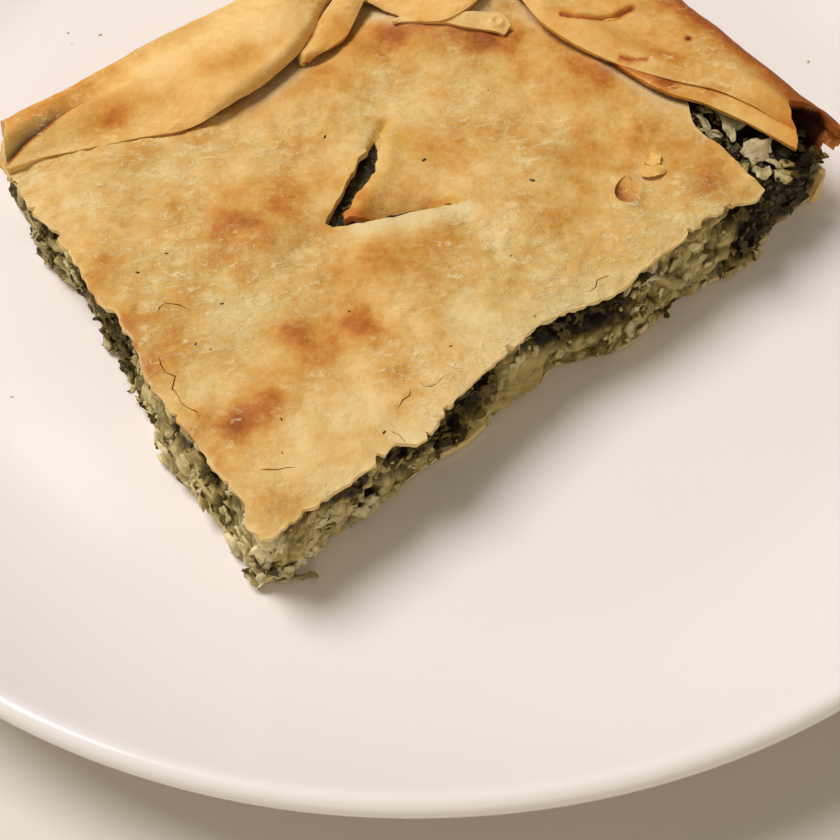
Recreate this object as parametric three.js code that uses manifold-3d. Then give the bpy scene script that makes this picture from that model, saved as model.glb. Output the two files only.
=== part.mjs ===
// A corner piece of chard pie on a round white plate, in millimetres with +Z up.
// The origin is on the table, under the middle of the plate.
// The pie is three things: a lower sheet of dough that lines the tin and folds over the top at its
// outer edges, a filling of chopped chard, and an upper sheet of dough with a slit cut in it.
import * as THREE from "three";
import { mergeVertices } from "three/addons/utils/BufferGeometryUtils.js";
import Module from "manifold-3d";

const wasm = await Module();
wasm.setup();

// Driving dimensions of the plate.
const PLATE_DIAMETER = 270;
const PLATE_HEIGHT = 23;
const PLATE_FLOOR = 8; // the table to the flat floor
const PLATE_FLAT_RADIUS = 97; // where the floor starts to rise
const PLATE_WALL = 5;
const LIP_THICKNESS = 4.4;
const FOOT_RADIUS = 84;
const FOOT_WIDTH = 7;
const FOOT_HEIGHT = 3;
const PLATE_SIDES = 64;

// Driving dimensions of the slice. It lies with its long cut along X and its short cut along Y,
// and the corner where the cuts meet is its own origin, until it is turned on the plate.
const SLICE_LENGTH = 137.5;
const SLICE_WIDTH = 104;
const SLICE_CORNER = 40; // radius of the tin's corner
const SLICE_TURN = 37.6; // degrees
const SLICE_AT = new THREE.Vector2(-25.3, -88.5);
const SHORT_CUT_SLOPE = 0.082; // the short cut leans in by this much for each millimetre along Y
const SHORT_CUT_START = -2.4;

// Driving dimensions of the dough and the filling.
const GAP = 0.35; // between pieces that rest on each other
const BASE_THICKNESS = 1.8;
const WALL_THICKNESS = 1.9;
const WALL_LEAN = 1.8; // how much further in the wall's foot stands than its top
const WALL_HEIGHT = 15.5;
const SHOULDER = 4; // radius of the bend from the wall to the fold
const FOLD_THICKNESS = 1.7;
const FOLD_GAP = 0.6;
const FILLING_TOP = 16.8; // above the slice's underside
const TOP_THICKNESS = 1.7;
const FOLD_DIP = 2.4; // how far the upper sheet sinks below the folds
const SLIT_APEX = new THREE.Vector2(45, 43.6);
const SLIT_LENGTH = 22;
const SLIT_SPREAD = 11.6; // half the distance between the slit's two ends
const SLIT_FLAP_LIFT = 2.2;

const SIMPLIFY_BY = 0.08;
const SHORTEST_EDGE = 0.03;

// Seeded noise that is smooth in space, from -1 to 1.
function cellValue(i, j, k) {
  const wave = Math.sin(i * 127.1 + j * 311.7 + k * 74.7) * 43758.5453;
  return 2 * (wave - Math.floor(wave)) - 1;
}
function noise(x, y, z) {
  const [i, j, k] = [x, y, z].map(Math.floor);
  const [a, b, c] = [x - i, y - j, z - k].map((t) => t * t * (3 - 2 * t));
  const { lerp } = THREE.MathUtils;
  const row = (dj, dk) => lerp(cellValue(i, j + dj, k + dk), cellValue(i + 1, j + dj, k + dk), a);
  return lerp(lerp(row(0, 0), row(1, 0), b), lerp(row(0, 1), row(1, 1), b), c);
}

// A closed box of nx by ny by nz cells, each corner moved to place(a, b, c) with a, b and c from 0 to 1.
function bentBox(nx, ny, nz, place) {
  const box = new THREE.BoxGeometry(1, 1, 1, nx, ny, nz).translate(0.5, 0.5, 0.5);
  return moved(box, (p) => place(p.x, p.y, p.z));
}

// A geometry with only merged positions, each of which is sent to where place says.
function moved(geometry, place) {
  geometry.deleteAttribute("normal");
  geometry.deleteAttribute("uv");
  const merged = mergeVertices(geometry, 1e-4);
  const position = merged.getAttribute("position");
  const point = new THREE.Vector3();
  for (let i = 0; i < position.count; i++) {
    const to = place(point.fromBufferAttribute(position, i).clone());
    position.setXYZ(i, to.x, to.y, to.z);
  }
  return merged;
}

// A geometry as a solid, turned right side out where its bending has turned it inside out.
function solid(geometry) {
  const merged = moved(geometry, (p) => p);
  const vertProperties = new Float32Array(merged.getAttribute("position").array);
  const triVerts = new Uint32Array(merged.index.array);
  const made = () => new wasm.Manifold(new wasm.Mesh({ numProp: 3, vertProperties, triVerts }));
  if (made().volume() < 0) triVerts.reverse();
  return made();
}

// The largest closed body of a solid as a geometry, without loose scraps and without very short edges.
function geometryOf(body) {
  const simple = body.simplify(SIMPLIFY_BY).decompose().sort((a, b) => b.volume() - a.volume())[0];
  const mesh = simple.getMesh();
  const corners = closeShortEdges(mesh.vertProperties, [...mesh.triVerts]);
  return new THREE.BufferGeometry()
    .setAttribute("position", new THREE.BufferAttribute(mesh.vertProperties, 3))
    .setIndex(corners);
}

// Draws the ends of each very short edge together, where the surface stays closed without that edge.
function closeShortEdges(points, corners) {
  const at = (i) => new THREE.Vector3().fromArray(points, 3 * i);
  let kept = corners;
  for (;;) {
    const beside = new Map();
    const edges = [];
    for (let i = 0; i < kept.length; i++) {
      const from = kept[i];
      const to = kept[i % 3 === 2 ? i - 2 : i + 1];
      if (!beside.has(from)) beside.set(from, new Set());
      if (!beside.has(to)) beside.set(to, new Set());
      beside.get(from).add(to);
      beside.get(to).add(from);
      if (from < to && at(from).distanceTo(at(to)) < SHORTEST_EDGE) edges.push([from, to]);
    }
    const shared = ([from, to]) => [...beside.get(from)].filter((other) => beside.get(to).has(other));
    const edge = edges.find((ends) => shared(ends).length === 2);
    if (!edge) return kept;
    const joined = kept.map((corner) => (corner === edge[1] ? edge[0] : corner));
    kept = joined.filter((corner, i) => {
      const first = i - (i % 3);
      const [a, b, c] = joined.slice(first, first + 3);
      return a !== b && b !== c && c !== a;
    });
  }
}

// Outlines of the slice in plan.

// The short cut runs nearly along Y, and the long cut along X, each a little wavy from the knife.
function shortCut(y) {
  return SHORT_CUT_START + SHORT_CUT_SLOPE * y + 0.5 * Math.sin(y / 9);
}
const LONG_CUT = new THREE.SplineCurve(
  [[0, -2], [16, -2.8], [36, -2.3], [50, 0], [61, 1.6], [76, 0.2], [94, 1.6], [108, 0.8], [SLICE_LENGTH, 0]]
    .map(([x, y]) => new THREE.Vector2(x, y)),
);
const FILLING_CUT = new THREE.SplineCurve(
  [[0, -0.4], [20, 0], [40, 0.2], [54, 1.6], [66, 3.6], [77, 1], [85, -2.4], [114, -2.4], [SLICE_LENGTH, 1.6]]
    .map(([x, y]) => new THREE.Vector2(x, y)),
);
// A cut's Y at an X, because each spline runs evenly enough along X to be searched by halving.
function cutAt(spline, x) {
  let [low, high] = [0, 1];
  for (let step = 0; step < 24; step++) {
    const middle = (low + high) / 2;
    if (spline.getPoint(middle).x < x) low = middle;
    else high = middle;
  }
  return spline.getPoint(low).y;
}

// The rim is the outside of the crust, from the short cut round the tin's corner to the long cut.
const CORNER_X = SLICE_LENGTH - SLICE_CORNER;
const CORNER_Y = SLICE_WIDTH - SLICE_CORNER;
const RIM_START = new THREE.Vector2(shortCut(SLICE_WIDTH), SLICE_WIDTH);
const rim = new THREE.CurvePath();
rim.add(new THREE.LineCurve(RIM_START, new THREE.Vector2(CORNER_X, SLICE_WIDTH)));
rim.add(new THREE.EllipseCurve(CORNER_X, CORNER_Y, SLICE_CORNER, SLICE_CORNER, Math.PI / 2, 0, true));
rim.add(new THREE.LineCurve(new THREE.Vector2(SLICE_LENGTH, CORNER_Y), new THREE.Vector2(SLICE_LENGTH, 0)));

// A point of the rim and the direction from it into the pie, at a share of the rim's length.
function rimAt(share) {
  const t = THREE.MathUtils.clamp(share, 0.0005, 0.9995);
  const tangent = rim.getTangent(t);
  return { at: rim.getPoint(t), inward: new THREE.Vector2(tangent.y, -tangent.x) };
}

// How far inside the rim a point of the plan lies.
function depthInside(x, y) {
  const dx = x - CORNER_X;
  const dy = y - CORNER_Y;
  if (dx > 0 && dy > 0) return SLICE_CORNER - Math.hypot(dx, dy);
  return Math.min(SLICE_LENGTH - x, SLICE_WIDTH - y);
}

// The slice's outline, drawn inset from the rim, with the two cuts as they are given.
function slicePlan(inset, longCut, cutMargin) {
  const plan = new THREE.Shape();
  const steps = 24;
  const right = SLICE_LENGTH - inset;
  const far = SLICE_WIDTH - inset;
  const radius = SLICE_CORNER - inset;
  for (let i = 0; i <= steps; i++) {
    const x = THREE.MathUtils.lerp(shortCut(0) + cutMargin, right, i / steps);
    const y = cutAt(longCut, x) + cutMargin;
    if (i === 0) plan.moveTo(x, y);
    else plan.lineTo(x, y);
  }
  plan.lineTo(right, CORNER_Y);
  plan.absarc(CORNER_X, CORNER_Y, radius, 0, Math.PI / 2, false);
  for (let i = 0; i < steps; i++) {
    const y = THREE.MathUtils.lerp(far, 0, i / steps);
    plan.lineTo(shortCut(y) + cutMargin, y);
  }
  return plan;
}

function slab(plan, bottom, height) {
  return solid(
    new THREE.ExtrudeGeometry(plan, { depth: height, bevelEnabled: false, curveSegments: 10 })
      .translate(0, 0, bottom),
  );
}

// Heights of the layers above the slice's underside.

// The filling's top is domed and lumpy, with a low ridge before it sinks towards the folded edges.
function fillingTop(x, y) {
  const { smoothstep } = THREE.MathUtils;
  const depth = depthInside(x, y);
  const dip = FOLD_DIP * (1 - smoothstep(depth, 13, 27));
  const ridge = 0.8 * Math.exp(-(((depth - 33) / 6) ** 2)) * smoothstep(x + y, 95, 150);
  const waves = 0.7 * noise(x / 24, y / 22, 3.1);
  return FILLING_TOP + ridge + waves - dip;
}

// The upper sheet's upper face has low blisters, which fade out below the folds.
function crustTop(x, y) {
  const open = THREE.MathUtils.smoothstep(depthInside(x, y), 24, 32);
  const blisters = 0.35 * noise(x / 7, y / 7, 8.2);
  const bubble = 1.1 * Math.exp(-((x - 33) ** 2 + (y - 47) ** 2) / 42);
  return fillingTop(x, y) + GAP + TOP_THICKNESS + open * (blisters + bubble);
}

// The plate

function plateGeometry() {
  const radius = PLATE_DIAMETER / 2;
  const lip = LIP_THICKNESS / 2;
  const lipMiddle = new THREE.Vector2(radius - lip, PLATE_HEIGHT - lip);
  const under = PLATE_FLOOR - PLATE_WALL;
  const profile = new THREE.Path();
  profile.moveTo(0, under);
  profile.lineTo(FOOT_RADIUS - FOOT_WIDTH - FOOT_HEIGHT / 2, under);
  profile.lineTo(FOOT_RADIUS - FOOT_WIDTH, 0);
  profile.lineTo(FOOT_RADIUS, 0);
  profile.lineTo(FOOT_RADIUS + FOOT_HEIGHT / 2, under - 0.4);
  profile.quadraticCurveTo(radius - 14, under + 3, lipMiddle.x + lip * 0.8, lipMiddle.y - lip * 0.6);
  profile.absarc(lipMiddle.x, lipMiddle.y, lip, -0.64, Math.PI * 0.72, false);
  profile.quadraticCurveTo(radius - 20, PLATE_FLOOR + 1.5, PLATE_FLAT_RADIUS, PLATE_FLOOR);
  profile.lineTo(0, PLATE_FLOOR);
  return new THREE.LatheGeometry(profile.getPoints(4), PLATE_SIDES);
}

// The lower sheet of dough: its base, its wall, and the edge that is folded in over the pie

function baseSheet() {
  return slab(slicePlan(WALL_LEAN + 0.4, FILLING_CUT, 1.2), 0, BASE_THICKNESS);
}

// The inner edge of the fold, as a share of the rim's length and a point in plan. It is a wide flap along
// the far side, a notch, a broad flap across the corner, and a flap that narrows along the right side.
const FOLD_EDGE = new THREE.CatmullRomCurve3(
  [
    [0, 6, 91], [0.05, 15, 89], [0.1, 27, 83.4], [0.16, 39, 79.4], [0.22, 52, 79], [0.28, 64, 82],
    [0.32, 72, 86], [0.36, 81, 92], [0.39, 86, 88], [0.42, 89, 81], [0.46, 95.5, 74.6], [0.52, 102, 73],
    [0.58, 109, 72], [0.62, 112.6, 69], [0.66, 110.8, 59], [0.72, 113.2, 47], [0.78, 115, 36],
    [0.85, 118.6, 25], [0.91, 122, 15], [0.96, 124.6, 7], [1, 126, 1.5],
  ].map(([share, x, y]) => new THREE.Vector3(share * 1000, x, y)),
);
function foldEdgeAt(share) {
  let [low, high] = [0, 1];
  for (let step = 0; step < 24; step++) {
    const middle = (low + high) / 2;
    if (FOLD_EDGE.getPoint(middle).x < share * 1000) low = middle;
    else high = middle;
  }
  const point = FOLD_EDGE.getPoint(low);
  return new THREE.Vector2(point.y, point.z);
}

// How far the fold bows up between the bend and its inner edge, and how far that edge stands off the pie.
// It lies close by the short cut, lifts off further along, and is hollow where the long cut crosses it.
function foldBow(along) {
  const { smoothstep } = THREE.MathUtils;
  return 1.5 + 0.7 * Math.sin(along * 9) + 1.4 * (1 - smoothstep(along, 0, 0.18)) + 1.4 * smoothstep(along, 0.8, 1);
}
function edgeLift(along) {
  const { smoothstep } = THREE.MathUtils;
  const farSide = 2 * smoothstep(along, 0.15, 0.22) * (1 - smoothstep(along, 0.33, 0.38));
  return farSide + 1.2 * smoothstep(along, 0.62, 0.68) + 1.4 * smoothstep(along, 0.8, 1);
}

// The pleat is a groove along the outside of the fold, deep at the short cut and run out further along.
const PLEAT_DEPTH = 3;
const PLEAT_RUN = 0.17; // as a share of the rim's length
function pleat(along, across) {
  const line = 0.74 - 1.8 * along;
  const beside = (across - line) / (across > line ? 0.06 : 0.15);
  return PLEAT_DEPTH * Math.max(0, 1 - along / PLEAT_RUN) ** 0.7 * Math.exp(-beside * beside);
}

// A point of the fold at a share along the rim and a share across, from the wall's top round the bend and in
// to the inner edge. sunk is how far it lies below the fold's upper face.
const BEND_SHARE = 0.36;
function foldAt(along, across, sunk) {
  const { at } = rimAt(along);
  const edge = foldEdgeAt(along);
  const width = at.distanceTo(edge);
  const top = WALL_HEIGHT + SHOULDER;
  const angle = Math.min(1, across / BEND_SHARE) * (Math.PI / 2);
  const flat = Math.max(0, (across - BEND_SHARE) / (1 - BEND_SHARE));
  const depth = across < BEND_SHARE
    ? SHOULDER * (1 - Math.cos(angle)) + sunk * Math.cos(angle)
    : THREE.MathUtils.lerp(SHOULDER, width, flat);
  const spot = at.clone().lerp(edge, depth / width);
  const groove = pleat(along, across);
  if (across < BEND_SHARE) {
    const height = top - SHOULDER + (SHOULDER - sunk) * Math.sin(angle) - groove;
    return new THREE.Vector3(spot.x, spot.y, height);
  }
  const laid = crustTop(spot.x, spot.y) + FOLD_GAP + FOLD_THICKNESS + edgeLift(along);
  const ripple = 0.35 * noise(spot.x / 8, spot.y / 8, 5.7) * Math.sin(Math.PI * flat);
  const bow = foldBow(along) * Math.sin(Math.PI * Math.sqrt(flat));
  const height = THREE.MathUtils.lerp(top, laid, flat * flat * (3 - 2 * flat)) + bow + ripple;
  return new THREE.Vector3(spot.x, spot.y, Math.max(height - groove, laid) - sunk);
}

// The wall and the fold are one sheet that stands up from the base and turns in over the pie.
const WALL_SHARE = 0.2;
function wallAndFold() {
  return solid(
    bentBox(84, 10, 1, (a, b, c) => {
      const sunk = FOLD_THICKNESS * (1 - c);
      if (b > WALL_SHARE) return foldAt(a, (b - WALL_SHARE) / (1 - WALL_SHARE), sunk);
      const { at, inward } = rimAt(a);
      const rise = b / WALL_SHARE;
      const depth = WALL_LEAN * (1 - rise) + sunk;
      return new THREE.Vector3(at.x + inward.x * depth, at.y + inward.y * depth, WALL_HEIGHT * rise);
    }),
  );
}

// A second leaf of the dough lies on the side flap and runs out at both ends. Near the long cut it leaves the
// flap's inner lip uncovered.
const LEAF_FROM = 0.56;
const LEAF_HEIGHT = 1.7;
const LEAF_BURIED = 0.6;
function sideLeaf() {
  return solid(
    bentBox(26, 7, 1, (a, b, c) => {
      const along = THREE.MathUtils.lerp(LEAF_FROM, 0.995, a);
      const innerShare = 1.03 - 0.4 * THREE.MathUtils.smoothstep(along, 0.72, 0.92);
      const across = THREE.MathUtils.lerp(0.12, innerShare, b);
      const ends = Math.min(1, 5 * a, 0.25 + 3 * (1 - a));
      const puffed = LEAF_HEIGHT * ends * (0.25 + 0.75 * Math.sin(Math.PI * (0.1 + 0.62 * b)));
      return foldAt(along, across, THREE.MathUtils.lerp(LEAF_BURIED, -puffed, c));
    }),
  );
}

// By the long cut the fold has broken away from the wall, which leaves a gap between them.
function brokenEnd() {
  const gap = new THREE.Shape();
  gap.moveTo(128.2, -3);
  gap.lineTo(129.6, 4);
  gap.lineTo(131.4, 10);
  gap.lineTo(133.8, 7.5);
  gap.lineTo(135.2, -3);
  return slab(gap, WALL_HEIGHT + 1, 20);
}

// A torn strip and a small twist of spare dough, each caught below the edge of the fold.
function tornStrip() {
  const start = new THREE.Vector2(90, 81);
  const end = new THREE.Vector2(103.6, 63);
  const side = new THREE.Vector2(0.78, 0.62).multiplyScalar(4.6);
  return solid(
    bentBox(8, 2, 1, (a, b, c) => {
      const spot = start.clone().lerp(end, a).addScaledVector(side, b - 0.5);
      return new THREE.Vector3(spot.x, spot.y, crustTop(spot.x, spot.y) + FOLD_GAP + 0.25 + 1.1 * c);
    }),
  );
}
function twistedFlap() {
  const middle = new THREE.Vector2(79.5, 87.5);
  const turn = THREE.MathUtils.degToRad(27);
  return solid(
    moved(new THREE.SphereGeometry(1, 14, 8), (p) => {
      const along = p.x * 14;
      const across = p.y * (3.4 + 0.9 * p.x);
      const x = middle.x + along * Math.cos(turn) - across * Math.sin(turn);
      const y = middle.y + along * Math.sin(turn) + across * Math.cos(turn);
      return new THREE.Vector3(x, y, crustTop(x, y) + FOLD_GAP + 2.6 + 2.3 * p.z);
    }),
  );
}

function lowerDough() {
  const pieces = [baseSheet(), wallAndFold(), sideLeaf(), tornStrip(), twistedFlap()];
  return geometryOf(pieces.reduce((whole, piece) => whole.add(piece)).subtract(brokenEnd()));
}

// The filling of chopped chard, solid to the wall, with lumps of leaf and stem at its two cut faces

const FILLING_BOTTOM = BASE_THICKNESS + GAP;
const LUMPS_ON_LONG_CUT = 44;
const LUMPS_ON_SHORT_CUT = 30;

function fillingCore() {
  const craggy = solid(
    bentBox(34, 26, 4, (a, b, c) => {
      const yFlat = SLICE_WIDTH * b;
      const x0 = THREE.MathUtils.lerp(shortCut(yFlat), SLICE_LENGTH, a);
      const y0 = THREE.MathUtils.lerp(cutAt(FILLING_CUT, x0), SLICE_WIDTH, b);
      const height = THREE.MathUtils.lerp(FILLING_BOTTOM, fillingTop(x0, y0), c);
      const crag = 1.1 * noise(x0 / 4.5, y0 / 4.5, height / 4);
      return new THREE.Vector3(x0 + crag * (1 - a) ** 8, y0 + crag * (1 - b) ** 8, height);
    }),
  );
  return craggy.intersect(slab(slicePlan(WALL_LEAN + WALL_THICKNESS + GAP, FILLING_CUT, -4), 0, 40));
}

// Each lump is a squashed, turned pebble of few sides, sunk by half in the cut face.
function fillingLump(index, x, y) {
  const draw = (k) => cellValue(index, k, 17);
  const size = new THREE.Vector3(2.6 + 0.9 * draw(1), 1.7 + 0.5 * draw(2), 1.5 + 0.5 * draw(3));
  const reach = Math.max(size.y, size.z) + 0.4;
  const top = fillingTop(x, y) - reach;
  const height = THREE.MathUtils.lerp(FILLING_BOTTOM + reach, top, 0.5 + 0.5 * draw(4));
  const matrix = new THREE.Matrix4().compose(
    new THREE.Vector3(x, y, height),
    new THREE.Quaternion().setFromEuler(new THREE.Euler(1.2 * draw(5), 0.25 * draw(6), 3 * draw(7))),
    size,
  );
  return solid(new THREE.IcosahedronGeometry(1, 0).applyMatrix4(matrix));
}

function fillingGeometry() {
  const lumps = [];
  for (let i = 0; i < LUMPS_ON_LONG_CUT; i++) {
    const x = THREE.MathUtils.lerp(1, SLICE_LENGTH - 8, (i + 0.5) / LUMPS_ON_LONG_CUT);
    lumps.push(fillingLump(i, x, cutAt(FILLING_CUT, x) + 0.5));
  }
  for (let i = 0; i < LUMPS_ON_SHORT_CUT; i++) {
    const y = THREE.MathUtils.lerp(1, SLICE_WIDTH - 10, (i + 0.5) / LUMPS_ON_SHORT_CUT);
    lumps.push(fillingLump(100 + i, shortCut(y) + 0.6, y));
  }
  return geometryOf(lumps.reduce((whole, lump) => whole.add(lump), fillingCore()));
}

// The upper sheet of dough, torn short of the side fold near the long cut, with a slit and its raised flap

const TOP_FAR = SLICE_WIDTH - WALL_LEAN - WALL_THICKNESS - 3;
const TOP_SIDE = new THREE.SplineCurve(
  [[-3, 113.6], [12, 115.4], [22, 116.4], [27, 120], [36, 123], [60, 123], [80, 122], [90, 116], [TOP_FAR, 108]]
    .map(([y, x]) => new THREE.Vector2(y, x)),
);

function upperSheet() {
  return solid(
    bentBox(34, 28, 1, (a, b, c) => {
      const yFlat = THREE.MathUtils.lerp(-1, TOP_FAR, b);
      const x = THREE.MathUtils.lerp(shortCut(yFlat), cutAt(TOP_SIDE, yFlat), a);
      const y = yFlat + (1 + cutAt(LONG_CUT, x)) * (1 - b) ** 6;
      const ragged = 0.5 * noise(x / 2.7, y / 2.7, 21);
      const height = c > 0.5 ? crustTop(x, y) : fillingTop(x, y) + GAP;
      return new THREE.Vector3(x + ragged * (1 - a) ** 9, y + ragged * (1 - b) ** 9, height);
    }),
  );
}

// The slit is a V lying on its side: a wedge cut out of the sheet, and a narrower tongue put back, tip up.
function slitWedge() {
  const end = SLIT_APEX.x + SLIT_LENGTH;
  const wedge = new THREE.Shape();
  wedge.moveTo(SLIT_APEX.x, SLIT_APEX.y);
  wedge.lineTo(end, SLIT_APEX.y - SLIT_SPREAD);
  wedge.lineTo(end, SLIT_APEX.y + SLIT_SPREAD);
  wedge.quadraticCurveTo(end - 12, SLIT_APEX.y + SLIT_SPREAD * 0.62, SLIT_APEX.x, SLIT_APEX.y);
  return slab(wedge, FILLING_TOP - 8, 20);
}

// The tongue's tip stands back from the slit's point, so that the slit gapes along its far arm.
const TONGUE_TIP = 3.8;
const TONGUE_OVERLAP = 2.5;
function slitTongue() {
  const length = SLIT_LENGTH + TONGUE_OVERLAP - TONGUE_TIP;
  return solid(
    bentBox(8, 6, 1, (a, b, c) => {
      const along = length * a;
      const near = -1.1 - 0.5 * along;
      const far = -0.5 + 0.62 * along + 0.12 * along * Math.max(0, 1 - along / 30);
      const x = SLIT_APEX.x + TONGUE_TIP + along;
      const y = SLIT_APEX.y + THREE.MathUtils.lerp(near, far, b);
      const lift = SLIT_FLAP_LIFT * Math.max(0, 1 - along / (SLIT_LENGTH - 6)) * Math.sin(Math.PI * (0.25 + 0.6 * b));
      const height = fillingTop(x, y) + GAP + 0.2 + lift + (TOP_THICKNESS - 0.4) * c;
      return new THREE.Vector3(x, y, height);
    }),
  );
}

function upperDough() {
  return geometryOf(upperSheet().subtract(slitWedge()).add(slitTongue()));
}

// Materials, and the plate with its slice

function finish(color, roughness) {
  return new THREE.MeshStandardMaterial({ color, roughness, metalness: 0 });
}

function piece(name, geometry, material) {
  const mesh = new THREE.Mesh(geometry, material);
  mesh.name = name;
  return mesh;
}

const slice = new THREE.Group();
slice.position.set(SLICE_AT.x, SLICE_AT.y, PLATE_FLOOR + GAP);
slice.rotation.z = THREE.MathUtils.degToRad(SLICE_TURN);
slice.add(piece("lower_crust", lowerDough(), finish(0xd9a354, 0.55)));
slice.add(piece("chard_filling", fillingGeometry(), finish(0x5d6b3a, 0.5)));
slice.add(piece("upper_crust", upperDough(), finish(0xdfb468, 0.55)));

const plate = new THREE.Group();
// The lathe turns about Y, so it is stood up along Z.
plate.rotation.x = Math.PI / 2;
plate.add(piece("plate", plateGeometry(), finish(0xf1ebe6, 0.2)));

const pieOnPlate = new THREE.Group();
pieOnPlate.add(plate, slice);

export default pieOnPlate;
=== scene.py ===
import math
import bpy
import numpy as np
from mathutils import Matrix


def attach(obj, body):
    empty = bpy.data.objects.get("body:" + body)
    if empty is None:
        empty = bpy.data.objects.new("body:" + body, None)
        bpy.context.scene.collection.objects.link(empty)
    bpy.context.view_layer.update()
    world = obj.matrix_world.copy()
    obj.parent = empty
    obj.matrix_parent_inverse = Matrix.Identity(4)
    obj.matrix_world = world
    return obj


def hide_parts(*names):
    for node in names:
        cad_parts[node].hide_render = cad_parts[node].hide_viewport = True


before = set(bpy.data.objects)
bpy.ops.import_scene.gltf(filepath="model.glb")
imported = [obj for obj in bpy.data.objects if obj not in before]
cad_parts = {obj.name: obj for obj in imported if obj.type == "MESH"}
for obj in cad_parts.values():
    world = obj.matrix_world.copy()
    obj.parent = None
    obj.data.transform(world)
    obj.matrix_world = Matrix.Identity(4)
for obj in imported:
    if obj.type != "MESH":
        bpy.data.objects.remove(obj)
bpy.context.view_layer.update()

# The plate
# A round dinner plate of white stoneware, turned in one piece with a foot ring under it. Its flat floor
# rises gently to a rounded lip. A clear glaze covers it, apart from the foot, which stood in the kiln.
MM = 0.001
PLATE_SEGMENTS = 128
# Rings of the plate as radius and height: under it, round its lip and on its floor. The bends between them
# lean towards a place.
UNDERSIDE = [
    (40, 3), (73, 3), (75.4, 2.7), (76.5, 1), (77.2, 0.2), (78.4, 0), (80.5, 0), (82.6, 0), (83.8, 0.2),
    (84.6, 1.2), (86, 2.7)]
UNDER_BEND = (121, 6)
LIP_MIDDLE = (132.8, 20.8)
LIP_RADIUS = 2.2
LIP_TURN = (-0.64, 2.26)
FLOOR_BEND = (115, 9.5)
PLATE_FLOOR = [(97, 8), (80, 8), (40, 8)]
GLAZE = (244, 237, 233)
GLAZE_SHADE = (240, 232, 227)
PINHOLE = (196, 180, 160)
BARE_CLAY = (222, 205, 182)


def bow(start, pull, end, steps):
    """Points of a bend that leans towards pull, without its start."""
    shares = [(i + 1) / steps for i in range(steps)]
    return [tuple((1 - t) ** 2 * s + 2 * t * (1 - t) * p + t * t * e for s, p, e in zip(start, pull, end))
            for t in shares]


def lip_point(angle):
    return LIP_MIDDLE[0] + LIP_RADIUS * math.cos(angle), LIP_MIDDLE[1] + LIP_RADIUS * math.sin(angle)


def new_piece(name, add, **options):
    """A new primitive with its name, and nothing else selected."""
    bpy.ops.object.select_all(action="DESELECT")
    add(**options)
    piece = bpy.context.object
    piece.name = name
    return piece


def shape_by(piece, name, kind, **options):
    """Adds a modifier to the active piece, sets its options and applies it."""
    modifier = piece.modifiers.new(name, kind)
    for option, value in options.items():
        setattr(modifier, option, value)
    bpy.ops.object.modifier_apply(modifier=modifier.name)


lip = [lip_point(angle) for angle in np.linspace(*LIP_TURN, 9)]
plate_rings = (UNDERSIDE + bow(UNDERSIDE[-1], UNDER_BEND, lip[0], 9) + lip[1:]
               + bow(lip[-1], FLOOR_BEND, PLATE_FLOOR[0], 10) + PLATE_FLOOR[1:])
plate = new_piece("glazed_plate", bpy.ops.mesh.primitive_circle_add, vertices=PLATE_SEGMENTS,
                  fill_type="NGON", radius=plate_rings[0][0] * MM, location=(0, 0, plate_rings[0][1] * MM))
bpy.ops.object.transform_apply(location=True, rotation=True, scale=True)
bpy.ops.object.mode_set(mode="EDIT")
bpy.ops.mesh.select_all(action="SELECT")
for (radius, height), (next_radius, next_height) in zip(plate_rings, plate_rings[1:]):
    bpy.ops.mesh.extrude_edges_move(TRANSFORM_OT_translate={"value": (0, 0, (next_height - height) * MM)})
    wider = next_radius / radius
    bpy.ops.transform.resize(value=(wider, wider, 1), center_override=(0, 0, next_height * MM))
bpy.ops.mesh.edge_face_add()
bpy.ops.mesh.select_all(action="SELECT")
bpy.ops.mesh.remove_doubles(threshold=0.01 * MM)
bpy.ops.mesh.normals_make_consistent(inside=False)
bpy.ops.object.mode_set(mode="OBJECT")
shape_by(plate, "rounding", "SUBSURF", levels=1, render_levels=1)
bpy.ops.object.shade_smooth()


def paint(red, green, blue):
    """A colour of 0 to 255, as it looks, as the linear colour that a shader takes."""
    def linear(value):
        value = value / 255
        return value / 12.92 if value <= 0.04045 else ((value + 0.055) / 1.055) ** 2.4
    return linear(red), linear(green), linear(blue), 1


def put(tree, kind, inputs=None, **options):
    """Adds a node with its options, and gives each named input a value or a link."""
    node = tree.nodes.new("ShaderNode" + kind)
    for option, value in options.items():
        setattr(node, option, value)
    for name, value in (inputs or {}).items():
        if isinstance(value, bpy.types.NodeSocket):
            tree.links.new(value, node.inputs[name])
        else:
            node.inputs[name].default_value = value
    return node


def calc(tree, operation, *values, clamp=False):
    return put(tree, "Math", dict(enumerate(values)), operation=operation, use_clamp=clamp).outputs[0]


def times(tree, first, second):
    return calc(tree, "MULTIPLY", first, second)


def plus(tree, first, second, clamp=False):
    return calc(tree, "ADD", first, second, clamp=clamp)


def blend(tree, share, low, high, how="MIX"):
    """Two colours mixed by a share from 0 to 1."""
    return put(tree, "Mix", {0: share, 6: low, 7: high}, data_type="RGBA", blend_type=how).outputs[2]


def spread(tree, value, low, high, to_low=0.0, to_high=1.0):
    """A value's range from low to high, stretched to a new range and held at its ends."""
    return put(tree, "MapRange", {"Value": value, "From Min": low, "From Max": high,
                                  "To Min": to_low, "To Max": to_high}).outputs[0]


def cloud(tree, where, scale, detail=3.0, roughness=0.55, distortion=0.0):
    """Soft noise from 0 to 1, with scale cells to the metre."""
    return put(tree, "TexNoise", {"Vector": where, "Scale": scale, "Detail": detail, "Roughness": roughness,
                                  "Distortion": distortion}).outputs[0]


def material_for(piece, name):
    """A new material on a piece, as its node tree and its shader."""
    material = bpy.data.materials.new(name)
    material.use_nodes = True
    piece.data.materials.clear()
    piece.data.materials.append(material)
    return material.node_tree, material.node_tree.nodes["Principled BSDF"]


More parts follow.
